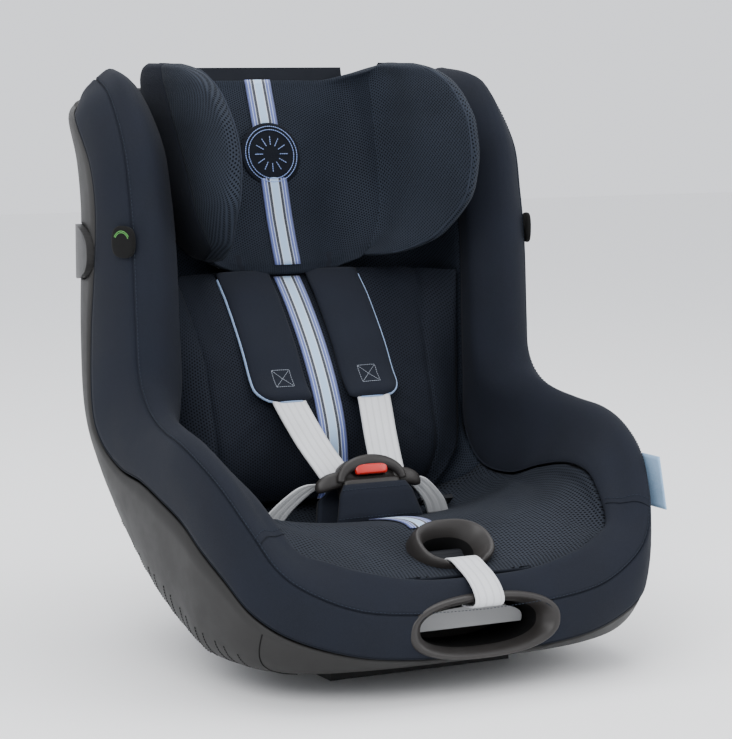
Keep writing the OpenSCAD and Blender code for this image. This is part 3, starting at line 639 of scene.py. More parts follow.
NAVY = (0.0098, 0.0118, 0.0178)
M = {
    # the shell's last pair is the height range in metres of its painted shade low down and painted light high
    # up
    "shell": plastic("shell_grey", (0.024, 0.0235, 0.023), 0.55, 0.00005, 0.3, 0.22, (0.12, 0.50)),
    "pod": plastic("pod_grey", (0.027, 0.0265, 0.0265), 0.42, 0.00002, 0.3, 0.3),
    "dark": plastic("moulded_dark_grey", (0.012, 0.013, 0.016), 0.6, 0.00005, 0.3, 0.2),
    "navy_shell": plastic("navy_moulding", (0.006, 0.0075, 0.0115), 0.7, 0.00005, 0.2, 0.15),
    "brown": plastic("charcoal_brown", (0.0185, 0.0165, 0.0155), 0.45, 0.00004, 0.4, 0.35),
    "light": plastic("light_grey", (0.215, 0.218, 0.220), 0.42, 0.00003, 0.3),
    "black": plastic("black_moulding_and_hole_shade", (0.004, 0.004, 0.0042), 0.6, 0.00003, 0.1, 0.1),
    "red": plastic("red_button", (0.50, 0.016, 0.012), 0.30, 0.00001, 0.2),
    "rubber": plastic("black_rubber", (0.010, 0.010, 0.010), 0.85, 0.00006, 0.15, 0.2),
    "groove": plastic("parting_line", (0.006, 0.006, 0.006), 0.8, 0.00002, 0.0, 0.1),
    "steel": steel("zinc_steel"),
    "navy": woven("navy_cloth", NAVY),
    "navy_dark": woven("navy_cloth_dark", (0.0055, 0.007, 0.011)),
    "mesh": holed("navy_mesh_fine", (0.0125, 0.0165, 0.0250), (0.0016, 0.0022, 0.0036), 0.0026, 1.15,
                  0.0004),
    # a darker copy of the fine mesh: painted shade on the insert
    "mesh_insert": holed("navy_mesh_insert_painted_shade", (0.0070, 0.0092, 0.0150), (0.0012, 0.0016, 0.0028), 0.0026,
                         1.15, 0.0004),
    # its coarser holes are the cloth's own; its lighter colour is painted light on the headrest wings' inner
    # and front faces
    "mesh_big": holed("navy_mesh_coarse_painted_light", (0.0170, 0.0220, 0.0320), (0.0020, 0.0026, 0.0043), 0.0031, 1.2,
                      0.0007),
    "mesh_side": holed("navy_mesh_side", (0.0085, 0.0110, 0.0172), (0.0012, 0.0016, 0.0028), 0.0028, 1.2,
                       0.0005),
    "mesh_pan": holed("navy_mesh_seat", (0.0165, 0.0200, 0.0275), (0.0022, 0.0028, 0.0045), 0.0040, 0.8,
                      0.0006, (0.0, 1.4)),
    "web": webbing("webbing_white", (0.60, 0.61, 0.63), 0.035),
    "web_lap": webbing("webbing_lap", (0.52, 0.53, 0.54), 0.024, 3),
    "ribbon": ribbon_mat("striped_ribbon"),
    "piping_dark": woven("grey_blue_piping", (0.020, 0.025, 0.036), 0.0009, 0.00006),
    "piping": woven("pale_blue_piping", (0.20, 0.29, 0.46), 0.0009, 0.00008, 0.2, (0.4, 0.5, 0.66)),
    "tag": woven("pale_blue_label", (0.26, 0.42, 0.62), 0.0008, 0.00006, 0.2, (0.5, 0.64, 0.8)),
    "thread": woven("navy_thread", (0.020, 0.026, 0.038), 0.0006, 0.00005),
    "thread_light": woven("grey_thread", (0.28, 0.31, 0.36), 0.0006, 0.00005, 0.2),
    "thread_blue": woven("blue_thread", (0.24, 0.33, 0.62), 0.0006, 0.00005, 0.2),
    "green": woven("green_thread", (0.10, 0.32, 0.08), 0.0006, 0.00005, 0.2),
    "patch": woven("black_patch", (0.006, 0.006, 0.006), 0.0008, 0.00006),
}


def dress(node, key):
    """Gives a carried-over CAD node its procedural material."""
    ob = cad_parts[node]
    if not ob.material_slots:
        ob.data.materials.append(M[key])
    for s in ob.material_slots:
        s.material = M[key]


def piece(ob, body, slot, *nodes, pad=None):
    """Attaches a piece to its body and hides the CAD nodes that it replaces; its material slot is not used.
    """
    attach(ob, body)
    if nodes:
        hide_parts(*nodes)
    return ob


def sew(name, paths, key, *size, body="seat", slot="navy_fabric"):
    """Stitches as a piece; size is the pitch, length and radius of a thread."""
    piece(stitches(name, paths, M[key], *size), body, slot)


def bead(name, path, r, key, n=6, step=3, body="seat", slot="navy_fabric"):
    """A thin round line as a piece."""
    piece(tube(name, along(path, step), r, M[key], n), body, slot)


hard = {"steel": "dock_bars recline_rack sled_screws handle_pivots recline_pawl adjuster_pin pod_guides "
                 "guide_rods lever_pin",
        "shell": "sled_frame belly_channel", "black": "sled_rollers", "rubber": "rubber_feet",
        "light": "recline_handle headrest_lever", "dark": "adjuster_button harness_anchors",
        "red": "buckle_button", "brown": "tongues buckle_housing front_bezel adjuster_funnel",
        "pod": "pod_left pod_right", "navy_shell": "headrest_shell"}
for key, nodes in hard.items():
    for node in nodes.split():
        dress(node, key)

SIDES = ((-1, "left"), (1, "right"))

# ------------------------------------------------------------------ rim cover
H, S, C, I, Q, P, Z = (cr(c, FINE) for c in (hem, seam, crest, inner, meshline, mid(padline), mid(spine)))
ROWS = len(H) - 1
HALF = 213                                       # the hem's half width at its widest
E = mix(H, S, 0.5) + H * [2.5 / HALF, 0, 0] + [0, -1, 1.5]
K = mix(I, Q, 0.5) + [-2, 0, 1]
# across the rim: 0 hem, 1 outer side, 2 seam, 3 crest, 4 inner edge, 5 inner side, 6 mesh line
T_RIM = np.array([0, .04, .1, .25, .45, .7, 1, 1.3, 1.6, 1.8, 1.9, 1.95, 1.98, 2, 2.02, 2.05, 2.1, 2.25,
                  2.5, 2.75, 3, 3.25, 3.5, 3.75, 4, 4.25, 4.5, 4.75, 5, 5.25, 5.5, 5.75, 5.9, 6])
rim = around(np.moveaxis(crt(np.stack([H, E, S, C, I, K, Q]), T_RIM), 0, 1))
out_n = -normals(rim)
groove = -1.3 * bell(T_RIM, 2, 0.035) + 0.7 * bell(np.abs(T_RIM - 2), 0.14, 0.09)
fullness = 1.6 * hump(T_RIM / 2) + 0.8 * hump((T_RIM - 2) / 4)
tuck = -2.0 * bell(T_RIM, 0, 0.06) - 1.2 * bell(T_RIM, 6, 0.12)
fold = np.zeros(rim.shape[:2])                   # shallow hollows across the outer side
s_len = grid_uv(rim)[:, 0, 1] / MM
for at, width, deep in ((165, 26, 0.9), (330, 20, 1.1), (455, 30, 0.8), (610, 24, 0.9)):
    for c0 in (at, s_len[-1] - at):
        fold -= deep * bell(s_len, c0, width)[:, None] * hump(T_RIM / 2)[None] ** 2
rim = rim + out_n * (groove + fullness + tuck + fold)[..., None]
web = mix((around(H) * [1 - 1.5 / HALF, 1, 1])[:, None], around(Q)[:, None], (T_RIM / 6)[None, :, None])
cover = solid("cover_rim_fabric", rim, web, M["navy"])
# an opening for the handle's surround, which sits over the front of the cover
cut(cover, prism(oval(66.5, 21.5), bezel, -60, 60))
piece(cover, "seat", "navy_fabric", "cover_rim", pad=0.85)

# stitches beside the sewn seam, and the binding that closes the hem
beside = list(T_RIM).index(2.1)
sew("rim_seam_stitches", [rim[:, beside] + out_n[:, beside + 1] * 0.25], "thread")
bead("hem_binding", rim[:, 1] + out_n[:, 1] * 0.5, 0.9, "navy_dark", 8, 5)
# short seams from the elbow of the rim down to the front panel, on both sides
cols = np.arange(list(T_RIM).index(2), list(T_RIM).index(5.75))
for s, side in SIDES:
    elbow = 13 * FINE + 2
    row = elbow if s > 0 else len(rim) - 1 - elbow
    bead("front_seam_" + side, rim[row, cols] + out_n[row, cols] * 0.15, 0.55, "navy_dark")
    sew("front_seam_stitches_" + side, [rim[row - s, cols] + out_n[row - s, cols] * 0.3], "thread")

# ------------------------------------------------------------------ padding: back, seat and insert
station = np.arange(len(Q)) / FINE
side_line = Q + np.stack([-1.2 * np.minimum(1, Q[:, 0] / 40), 1.2 * (station > 12), 0 * station], -1)
to_pad = unit((P - side_line) * [0, 1, 1])
side_line = side_line + np.where(station > 11, 4.6, 3.5)[:, None] * to_pad
upright = np.clip(2 - station / 4, 0, 1)         # 1 along the back, 0 along the seat
pad = both(rib(side_line, P, mix(0.6, 0.85, upright), mix(0.66, 0.86, upright),
               np.linspace(0, 1, 33))[:ROWS - FINE + 1])
nrm = normals(pad)
split = 8 * FINE
# the edges dip under the rim's mesh line
edge_dip = np.minimum(1, (1 - np.abs(np.linspace(-1, 1, pad.shape[1]))) / 0.05)
front = pad + nrm * (2.4 * (1 - edge_dip))[None, :, None]
back_cover = solid("back_cover", front[:split + 1], (pad + nrm * 8.6)[:split + 1], M["mesh"])
piece(back_cover, "seat", "navy_mesh", "back_pad", pad=0.8)
pan_front = front[split:]
from_end = np.arange(len(pan_front))[::-1]
thick = np.interp(from_end, [0, FINE, 3 * FINE, 5 * FINE], [2.9, 3.2, 5.2, 8.6])
seat_cover = solid("seat_cover", pan_front, pad[split:] + nrm[split:] * thick[:, None, None], M["mesh_pan"])
puff(seat_cover, held(pan_front.shape[:2], (2, 3), (3, 3)), 3.0, 4.0)
# an opening for the adjuster's collar
cut(seat_cover, prism(oval(36, 23.5), funnel, -60, 60))
piece(seat_cover, "seat", "navy_mesh", "seat_pad", pad=0.7)
# a dark cord across the front end of the seat pad: a painted shadow line where the pad meets the rim
bead("pan_shadow_line", pan_front[-2] - normals(pan_front)[-2] * 0.2, 1.5, "navy_dark", 8, 4)

# the insert: a cushion with a flank on each side, from under the headrest down to the seat
inlay_line = [[166, 324], [158, 318], [142, 301], [124, 279], [107, 256], [93, 234], [79, 213], [66, 188],
              [59, 166], [61, 140], [70, 122]]
L = cr(mid(inlay_line), 5)
zi = L[:, 2] + 2
in_w = slide(zi, [[122, 96], [140, 106], [160, 112], [252, 112], [290, 116], [326, 122]])
in_e = slide(zi, [[122, 7], [133, 11], [160, 11], [206, 3], [252, -11], [290, -20], [326, -30]])
fl_x = slide(zi, [[122, 106], [140, 122], [160, 140], [180, 147], [225, 148], [326, 146]])
fl_y = slide(zi, [[122, 74], [140, 72], [160, 80], [180, 90], [225, 95], [326, 95]])
# across the insert: 1 is the seam between the cushion and its flank, 1.3 the flank's outer edge
uu = np.concatenate([np.linspace(-1.3, -1.05, 8), [-1.02, -1.01], np.linspace(-1, 1, 41), [1.01, 1.02],
                     np.linspace(1.05, 1.3, 8)])
c_u, f_u = np.minimum(1, np.abs(uu)), np.maximum(0, np.abs(uu) - 1) / 0.3
e_y = L[:, 1][:, None] + 1 + in_e[:, None] * c_u ** 4
ins = np.stack([np.sign(uu) * mix(in_w[:, None] * c_u, fl_x[:, None], f_u),
                mix(e_y, fl_y[:, None], f_u), np.repeat(zi[:, None], len(uu), 1)], -1)
n_in = normals(ins)
n_in = np.where(n_in[..., 1:2] < 0, -n_in, n_in)      # toward the back
# a sewn groove where the cushion meets its flanks, and soft rolls beside it
line_u = -2.2 * bell(np.abs(uu), 1.01, 0.012) + 1.0 * bell(np.abs(uu), 0.93, 0.05)
ins_f = ins - n_in * line_u[None, :, None]
ins_b = ins + n_in * (1.5 + 5 * np.maximum(0, 1 - uu ** 2))[None, :, None]
flank = np.zeros((ins.shape[0] - 1, ins.shape[1] - 1), int)
flank[:, np.abs(uu[:-1] + uu[1:]) / 2 > 1.015] = 1
ins_ob = solid("insert_cushion", ins_f, ins_b, [M["mesh_insert"], M["mesh_side"]], cell_mat=flank)
mask = held(ins.shape[:2], (1, 1), (0, 0))
mask[:, (np.abs(uu) > 1.2) | (np.abs(np.abs(uu) - 1.01) < 0.02)] = True
puff(ins_ob, mask, 5.0, 5.0)
piece(ins_ob, "seat", "navy_mesh", "inlay_back_pad", pad=0.7)

# ------------------------------------------------------------------ headrest
# in the headrest's own frame: height, half width of its middle panel, how far that bulges
head_rows = [[-190, 66, 22], [-178, 71, 22.6], [-160, 75, 19.3], [-135, 79, 15.7], [-100, 88, 13.4],
             [-60, 94, 9.6], [-25, 99, 5], [-7, 101, 2.2], [6, 100, 1]]
# the wings' outline: height, front edge, back edge, outer side
wing_rows = [[338, 140, 165, 88], [345, 100, 168, 100], [359, 62, 172, 111], [373, 44, 176, 117],
             [387, 30, 180, 121], [399, 20, 184, 123], [412, 15, 188, 124], [436, 12, 194, 125],
             [458, 18, 200, 126], [471, 25, 204, 127], [484, 37, 207, 127], [495, 50, 209, 127],
             [505, 68, 210, 127], [513, 92, 208, 126], [519, 125, 200, 125]]
seam_zy = [[363, 90], [407, 98], [451, 121], [490, 142], [517, 160]]
W = cr(wing_rows, 8)
s_w = np.concatenate([[0], np.cumsum(np.linalg.norm(np.diff(W[:, :2] * [1, 0.6], axis=0), axis=1))])
W = np.stack([np.interp(np.linspace(0, s_w[-1], 64), s_w, W[:, k]) for k in range(4)], -1)
zl = mix(-189, 1, (W[:, 0] - 338) / 181)     # the centre's height in the headrest's own frame
hw = slide(zl, [r[:2] for r in head_rows])
bulge = slide(zl, [r[::2] for r in head_rows])
centre = head(np.stack([0 * zl, -4.2 - bulge, zl], -1))
# below -164 only a thin skirt is left, which hangs over the straps
back_y = np.interp(zl, [-168, -164], [0, 1]) * (bulge - 4.8) + 4.5
flat_ = head(np.stack([0 * zl, back_y - 4.2 - bulge, zl], -1))
cols_f, cols_b = [], []
t = 12.0                                     # thickness of a wing
for k, (z, f, b, x) in enumerate(W):
    d = min(10, (b - f) / 3)
    q = min(1, (b - f) / 100)
    sy = min(max(slide(z, seam_zy), f + d + 4), b - 14)      # the side seam
    zc, yc, yf = centre[k, 2], centre[k, 1], flat_[k, 1]
    jx = x - t - 8 * q                       # where the middle panel meets the wing
    ctrl = [[0, yc, zc], [0.36 * hw[k], yc + min(0.8, 0.2 * bulge[k]), zc],
            [0.68 * hw[k], yc + min(4.5, 0.35 * bulge[k] - 0.6), zc],
            [min(0.93 * hw[k], jx - 16), mix(yc + 8, b - 9, 0.6), mix(zc, z, 0.35)],
            [jx - 5 * q, b - 9 - 9 * q, mix(zc, z, 0.7)], [x - t - 5.5 * q, mix(f, b, 0.72), z],
            [x - t - 4 * q, mix(f, b, 0.42), z], [x - t, f + d, z], [x - t * 0.75, f, z],
            [x - t * 0.3, f + 0.5, z], [x + 1.2, f + d, z], [x + 2.6, mix(f + d, sy, 0.5), z],
            [x + 1.0, sy - 3, z], [x - 1.2, sy, z], [x + 0.4, sy + 3, z],
            [x + 0.9, mix(sy, b - 10, 0.5), z], [x + 0.2, b - 8, z], [x - 3, b, z]]
    m = x - t * 0.5                          # the back face, halfway through the wing
    back = [[0, yf, zc], [0.36 * hw[k], yf, zc], [0.68 * hw[k], yf, zc],
            [min(0.93 * hw[k], jx - 14), max(min(yf, b), mix(yc + 8, b - 9, 0.6) + 7), mix(zc, z, 0.35)],
            [jx, b - 1, mix(zc, z, 0.7)],
            [m, mix(f, b, 0.72), z], [m, mix(f, b, 0.42), z], [m, f + d + 2, z], [m, f + d, z],
            [m, f + d, z], [m, f + d + 2, z], [m, mix(f + d, sy, 0.5), z], [m, sy - 3, z],
            [m, sy, z], [m, sy + 3, z], [m, mix(sy, b - 10, 0.5), z], [m, b - 8, z],
            [m, b - 0.5, z]]
    cols_f.append(ctrl)
    cols_b.append(back)
t_h = np.concatenate([np.linspace(0, 4, 33)[:-1], np.linspace(4, 10, 65)[:-1], np.linspace(10, 12, 11),
                      [12.4, 12.75, 13, 13.25, 13.6, 14, 14.25, 14.5, 14.75, 15, 15.3, 15.6, 16, 16.5, 17]])
cf = np.moveaxis(crt(np.moveaxis(np.array(cols_f), 1, 0), t_h), 0, 1)
cb = np.moveaxis(crt(np.moveaxis(np.array(cols_b), 1, 0), t_h), 0, 1)
# rounded top and bottom edges
n_r = len(cf)
for k, amount in ((0, 0.62), (1, 0.30), (2, 0.12), (3, 0.03)):
    for row in (k, n_r - 1 - k):
        cf[row] = mix(cf[row], cb[row], amount)
cf, cb = (np.concatenate([mirror(g[:, ::-1]), g[:, 1:]], axis=1) for g in (cf, cb))
t_full = np.concatenate([t_h[::-1], t_h[1:]])
t_cell = (t_full[:-1] + t_full[1:]) / 2
zone = np.where(t_cell < 4.2, 0, np.where(t_cell < 12.9, 1, 2))
head_cover = solid("headrest_cover", cf, cb, [M["mesh"], M["mesh_big"], M["navy"]],
                   cell_mat=np.repeat(zone[None], n_r - 1, 0), back_mat=2)
piece(head_cover, "headrest", "navy_mesh", "headrest_cushion", "headrest_wing_left", "headrest_wing_right",
      pad=0.85)
for s, side in SIDES:
    end = 0 if s < 0 else -1
    col = np.nonzero(np.abs(t_full - 13.25) < 0.01)[0][end]
    sew("headrest_stitches_" + side, [cf[8:-5, col] + [s * 0.25, 1.6, 0]], "thread", body="headrest")
    col = np.nonzero(np.abs(t_full - 7.65) < 0.06)[0][end]
    bead("headrest_piping_" + side, cf[5:-4, col], 0.75, "piping_dark", body="headrest")

# ------------------------------------------------------------------ ribbon
RIBBON = 13.5                                    # half its width
rib_u = np.linspace(-RIBBON, RIBBON, 9)


def ribbon(name, path, target, direction, body):
    """A striped ribbon laid on the target along a path."""
    g = along(path, 4)[:, None] + rib_u[None, :, None] * np.array([1, 0, 0])
    g = drape(g, direction, target, 0.7)
    uv = grid_uv(g)
    uv[..., 0] = rib_u[None] * MM
    piece(solid(name, g, g + normals(g) * 0.9, M["ribbon"], uv=uv), body, "blue_fabric")


z_head = np.linspace(-9.5, -184, 46)
ribbon("ribbon_headrest", head(np.stack([0 * z_head, 0 * z_head - 40, z_head], -1)), head_cover,
       (0, 1, 0.05), "headrest")
ribbon("ribbon_insert", L[1:-1] + [0, -20, 0], ins_ob, (0, 1, -0.25), "seat")
ribbon("ribbon_pan", [[0, 40, 150], [0, 0, 160], [0, -40, 160], [0, -110, 160]], seat_cover,
       (0, 0.15, -1), "seat")


# ------------------------------------------------------------------ outer shell
def shell_ribs(n):
    """Half ribs of the shell, with one column of points along the edge of the belly's slot."""
    slot_x = 97.0
    slot_t = 0.6                                 # the share of a rib's points outside the slot
    d = unit((Z - H) * [0, 1, 1] - [0, 0, 0.01])
    p = H * [1 - 0.6 / HALF, 1, 1] + 4 * d
    tt = np.linspace(0, 1, n)
    down = np.arange(len(p)) / FINE
    ka = np.interp(down, [4, 7, 9, 12, 15, 18], [0.62, 0.64, 0.85, 1, 0.98, 0.75])
    kb = np.interp(down, [4, 7, 9, 12, 15, 18], [0.62, 0.62, 0.79, 0.93, 0.9, 0.68])
    out = []
    for i, x0 in enumerate(p[:, 0]):
        t0 = slot_t
        if x0 > slot_x + 20:                     # by halving, where this rib crosses slot_x
            lo, hi = 0.0, 1.0
            for _ in range(24):
                t0 = (lo + hi) / 2
                x = x0 * ((1 - t0) ** 3 + 3 * (1 - t0) ** 2 * t0 + 3 * (1 - t0) * t0 ** 2 * kb[i])
                lo, hi = (t0, hi) if x > slot_x else (lo, t0)
            t0 = (lo + hi) / 2
        ts = np.where(tt <= slot_t, t0 * tt / slot_t, t0 + (1 - t0) * (tt - slot_t) / (1 - slot_t))
        out.append(rib(p[i:i + 1], Z[i:i + 1], ka[i], kb[i], ts)[0])
    return np.array(out)


SHELL_N = 31                                     # points on half a rib
SLOT_COL = 18                                    # the point at the slot's edge
sh = both(shell_ribs(SHELL_N)[:ROWS - FINE + 1])
shn = normals(sh)
keep = np.ones((sh.shape[0] - 1, sh.shape[1] - 1), bool)
keep[7 * FINE:14 * FINE, SLOT_COL:-SLOT_COL] = False      # the slot for the sled
shell = solid("shell_skin", sh, sh - shn * 3.5, M["shell"], keep)
for s in (-1, 1):
    def pod_frame(p, s=s):
        """Local x, y, z turned about Y, so that local z points outward."""
        a = np.asarray(p, float)
        return np.stack([s * 205 + s * a[:, 2], 158 + a[:, 1], 352 - s * a[:, 0]], -1)
    cut(shell, prism(oval(24.9, 44.9, 80), pod_frame, -45, 35))
piece(shell, "seat", "grey_plastic", "outer_shell")
# short rows of vents along the lower edge of the shell, and a panel seam on each side
for s, side in SIDES:
    vents = []
    for t in np.linspace(7.0, 13.6, 17):
        cs = np.linspace(5.6 + 0.9 * abs(t - 10.3) / 3.3, 10.5, 12)
        if s < 0:
            cs = sh.shape[1] - 1 - cs
        c0 = np.floor(cs).astype(int)
        row = (sh + shn * 0.05)[int(round(t * FINE))]
        vents.append(mix(row[c0], row[c0 + 1], (cs - c0)[:, None]))
    sew("shell_vents_" + side, vents, "groove", 3.2, 2.3, 0.62, slot="black_plastic")
    cols = np.arange(1, 15) if s > 0 else sh.shape[1] - 1 - np.arange(1, 15)
    bead("shell_seam_" + side, (sh + shn * 0.1)[int(14.4 * FINE), cols], 0.55, "groove", slot="black_plastic")


# ------------------------------------------------------------------ top cap of the back
def half(p, q, k, m):
    """Half a rib from one side point p to one centre point q."""
    return rib(np.array([p], float), np.array([q], float), k, m, np.linspace(0, 1, 24))[0]


cap_a = half(H[0] + [-7, 0, 4], Z[0] + [0, -4.5, 1], 0.62, 0.62)
cap_b = half(Q[0] + [5, 3, 6], P[0] + [0, 12, 0], 0.85, 0.88)
cap = both(np.array([mix(cap_a, cap_b, t) + [0, 0, 2.2 * math.sin(t * PI)] for t in np.linspace(0, 1, 11)]))
top = solid("back_top_cap", cap, cap - [0, 0, 3], M["dark"])
for s in (-1, 1):                                # a hole for each guide rod
    cut(top, prism(oval(8.6, 8.6, 32, 1) + [s * 60, 0], lambda p: place(p, [0, 258, 500], -14), -60, 60))
piece(top, "seat", "dark_plastic", "back_shell_rim")


# ------------------------------------------------------------------ harness
def strap(name, path, width, thick, key="web"):
    """A flat strap along a path, its width across the seat."""
    across = np.linspace(-width / 2, width / 2, 13)
    g = along(cr(path, 6), 3)[:, None] + across[None, :, None] * np.array([1, 0, 0])
    return solid(name, g, g + normals(g) * thick, M[key])


for s, side in SIDES:
    lower = strap("shoulder_web_" + side, [[s * 44, 78.5, 229.5], [s * 43, 66, 214], [s * 35, 38, 182],
                                           [s * 28, 14, 160], [s * 26, 6, 153]], 33, 1.7)
    upper = strap("shoulder_web_top_" + side, [[s * 46, 197, 347], [s * 46, 194.5, 340], [s * 46, 189, 333.5],
                                               [s * 46, 180, 331], [s * 46, 172, 329.6]], 35, 1.7)
    piece(lower, "seat", "webbing", "shoulder_strap_" + side)
    piece(upper, "seat", "webbing")
    lap = strap("lap_web_" + side, [[s * 44, 7, 150], [s * 54, 8, 147], [s * 67, 12, 137], [s * 79, 17, 124],
                                    [s * 86, 22, 111]], 22, 1.6, "web_lap")
    piece(lap, "seat", "webbing", "lap_strap_" + side)
adjuster = strap("adjuster_web", [[1, -158, 104], [1, -166, 108.6], [1, -175, 108.2], [1, -186, 104],
                                  [1, -197, 99.6], [1, -207, 93.4], [1, -213.2, 86.4], [1, -214.6, 81.5],
                                  [1, -211, 77.8], [1, -203, 76.6], [1, -192, 75.8]], 27, 1.6)
piece(adjuster, "seat", "webbing", "adjuster_strap")
crotch = strap("crotch_web", buckle([[0, -2, -25], [0, -2, -31], [0, -2, -36]]), 30, 1.8)
piece(crotch, "seat", "webbing", "crotch_strap")

# shoulder pads: soft slabs with a rounded outer corner, edge piping and a box stitch
PAD_X, PAD_W, STITCH_X = 46, 27, 44              # middle, half width, middle of the box stitch
pad_path = [[160, 325.5], [152, 316.5], [137, 301], [119, 280], [102, 258], [88, 236], [78, 224.5],
            [66.5, 215.5]]
pp = along(cr(mid(pad_path), 8), 2.6)
arc_s = np.concatenate([[0], np.cumsum(np.linalg.norm(np.diff(pp, axis=0), axis=1))])
end = arc_s[-1] - arc_s
up = np.array([0, -0.76, 0.65])                  # out of the pad's face


def corner(r):
    """How far a rounded bottom corner of radius r takes in the edge, along the pad."""
    return np.where(end < r, r - np.sqrt(np.maximum(0, r * r - (r - end) ** 2)), 0)[:, None]


def on_pad(q, x):
    """Points above the pad's face: q across and up the box stitch, around x."""
    q = np.asarray(q, float)
    at = arc_s[-1] - 23 - q[:, 1]
    return np.column_stack([x + q[:, 0], *(np.interp(at, arc_s, pp[:, k]) for k in (1, 2))]) + up * 20


u3 = np.linspace(-1, 1, 23)
crown = 7.6 * np.sqrt(np.maximum(0, 1 - 0.86 * np.abs(u3) ** 3.2))
low = 0.75 * np.minimum(1, np.sqrt(np.maximum(0, end / 7))) + 0.25
low = low * np.interp(arc_s, [0, 30], [0.4, 1.0])
x_pad = np.where(u3 < 0, u3 * (PAD_W - corner(5)), u3 * (PAD_W - corner(20)))
for s, side in SIDES:
    base = pp[:, None] + (s * (x_pad + PAD_X))[..., None] * np.array([1, 0, 0])
    a = base + (crown[None] * low[:, None])[..., None] * up
    slab = solid("shoulder_pad_soft_" + side, a, base + 0.6 * up, M["navy"])
    puff(slab, held(a.shape[:2]), 3.0, 1.6)
    piece(slab, "seat", "navy_fabric", "shoulder_pad_" + side, pad=0.8)
    edge = np.concatenate([a[3:, -1], a[-1, -2:2:-1]]) - up * 1.2
    bead("shoulder_piping_" + side, edge, 1.35, "piping", 8, slot="blue_fabric")
    # box with a cross, sewn near the lower end
    box = [[-9, -9], [9, -9], [9, 9], [-9, 9]]
    lines = [[box[k], box[m]] for k, m in ((0, 1), (1, 2), (2, 3), (3, 0), (0, 2), (3, 1))]
    lines = [drape(along(on_pad(q, s * STITCH_X), 1.0), -up, slab, 0.15) for q in lines]
    sew("shoulder_box_stitch_" + side, lines, "thread_light", 2.2, 1.9, 0.22)

# ------------------------------------------------------------------ buckle sleeve
zs = np.linspace(-36, -0.5, 15)
half_w = np.interp(zs, [-36, -22, -9, -0.5], [43.5, 39.5, 36, 30.5])
u4 = np.linspace(-1, 1, 25)
rise = 5.5 * np.sqrt(np.maximum(0, 1 - 0.9 * u4 ** 4)) * np.interp(zs, [-36, -30, -8, -0.5],
                                                                   [0.45, 1, 1, 0.5])[:, None]
sl = np.stack([u4 * half_w[:, None], -12.6 - rise, np.repeat(zs[:, None], len(u4), 1)], -1)
sb = np.stack([sl[..., 0], np.full(rise.shape, -11.8), sl[..., 2]], -1)
sleeve = solid("buckle_sleeve", buckle(sl), buckle(sb), M["navy"])
puff(sleeve, held(sl.shape[:2]), 2.5, 1.5)
piece(sleeve, "seat", "navy_fabric", "crotch_pad", pad=0.7)
zf = np.linspace(-31, 4, 13)
fw = np.interp(zf, [-32, -8, 4], [49, 43, 25])
fl = np.stack([u4 * fw[:, None], np.full((len(zf), len(u4)), 13.5), np.repeat(zf[:, None], len(u4), 1)], -1)
fl, fb = buckle(fl), buckle(fl + [0, 6.5, 0])
piece(solid("buckle_flap", fl, fb, M["navy"]), "seat", "navy_fabric", pad=0.6)
sew("sleeve_stitches", [buckle(sl[2]) - [0, 0.6, 0], buckle(sl[-3]) - [0, 0.6, 0]], "thread")


# ------------------------------------------------------------------ adjuster collar and handle surround
def mouth(name, profile, n, ring_at, node):
    """A lipped opening, its inside below z -6 painted black as shade deep in the hole: rows of [half width,
    half height, height z].
    """
    rows = cr(profile, 4)
    rings = [ring_at(oval(a, b, n), b, z) for a, b, z in rows]
    # bands below z -6 take the black material: painted shade deep in the opening
    piece(loft(name, rings, [M["brown"], M["black"]], (True, False), [int(z < -6) for z in rows[:-1, 2]]),
          "seat", "brown_plastic", node)


def collar_ring(o, b, z):
    """The hole leans to the left and back, the rim rises to the right, and a notch takes the strap."""
    deep = np.clip((6 - z) / 28, 0, 1)
    notch = 5.5 * bell(o[:, 0], 1, 17, 8) * (o[:, 1] < 0) * np.clip((z + 4) / 10, 0, 1)
    lift = 1.2 * np.clip(o[:, 0] / 38, 0, 1) * (1 - deep) - notch
    return funnel(np.column_stack([o + np.array([-5.0, 3.4]) * deep + [1.5, 0], z + lift]))


def surround_ring(o, b, z):
    """The lip stands a little further out along the top."""
    return bezel(np.column_stack([o, z + 0.6 * np.clip(z / 9, 0, 1) * np.clip(o[:, 1] / b, 0, 1)]))


collar = [(18, 11.5, -26), (19.5, 12.6, -19), (21.5, 14.4, -11), (24, 16.6, -4), (27, 19.2, 2), (30, 21.8, 6),
          (32.6, 24.0, 8.0), (34.6, 25.9, 7.6), (36.0, 27.2, 4.6), (36.6, 27.8, 0), (36.4, 27.6, -7)]
surround = [(50, 17.2, -56), (52, 17.3, -32), (53.5, 17.5, -18), (55.5, 18.0, -8), (58.5, 18.9, 0),
            (62.5, 20.6, 5.4), (66, 22.8, 8.6), (69, 24.8, 9.4), (71.2, 26.2, 8.4), (72.6, 27.2, 5),
            (72.8, 27.4, -3)]
mouth("adjuster_collar", collar, 96, collar_ring, "adjuster_funnel")
mouth("handle_surround", surround, 128, surround_ring, "front_bezel")


# ------------------------------------------------------------------ buckle
def blob(name, rows, key, n=40, power=0.5, at=buckle):
    """A rounded body: rows of [place along it, centre a, centre b, half a, half b]."""
    rings = [at(np.column_stack([oval(a, b, n, power) + [ca, cb], np.full(n, z)]))
             for z, ca, cb, a, b in cr(rows, 4)]
    return loft(name, rings, M[key], (True, True))


def button_at(p):
    """Outline in x and height, pushed through the front face of the housing."""
    return buckle(np.asarray(p, float)[:, [0, 2, 1]])


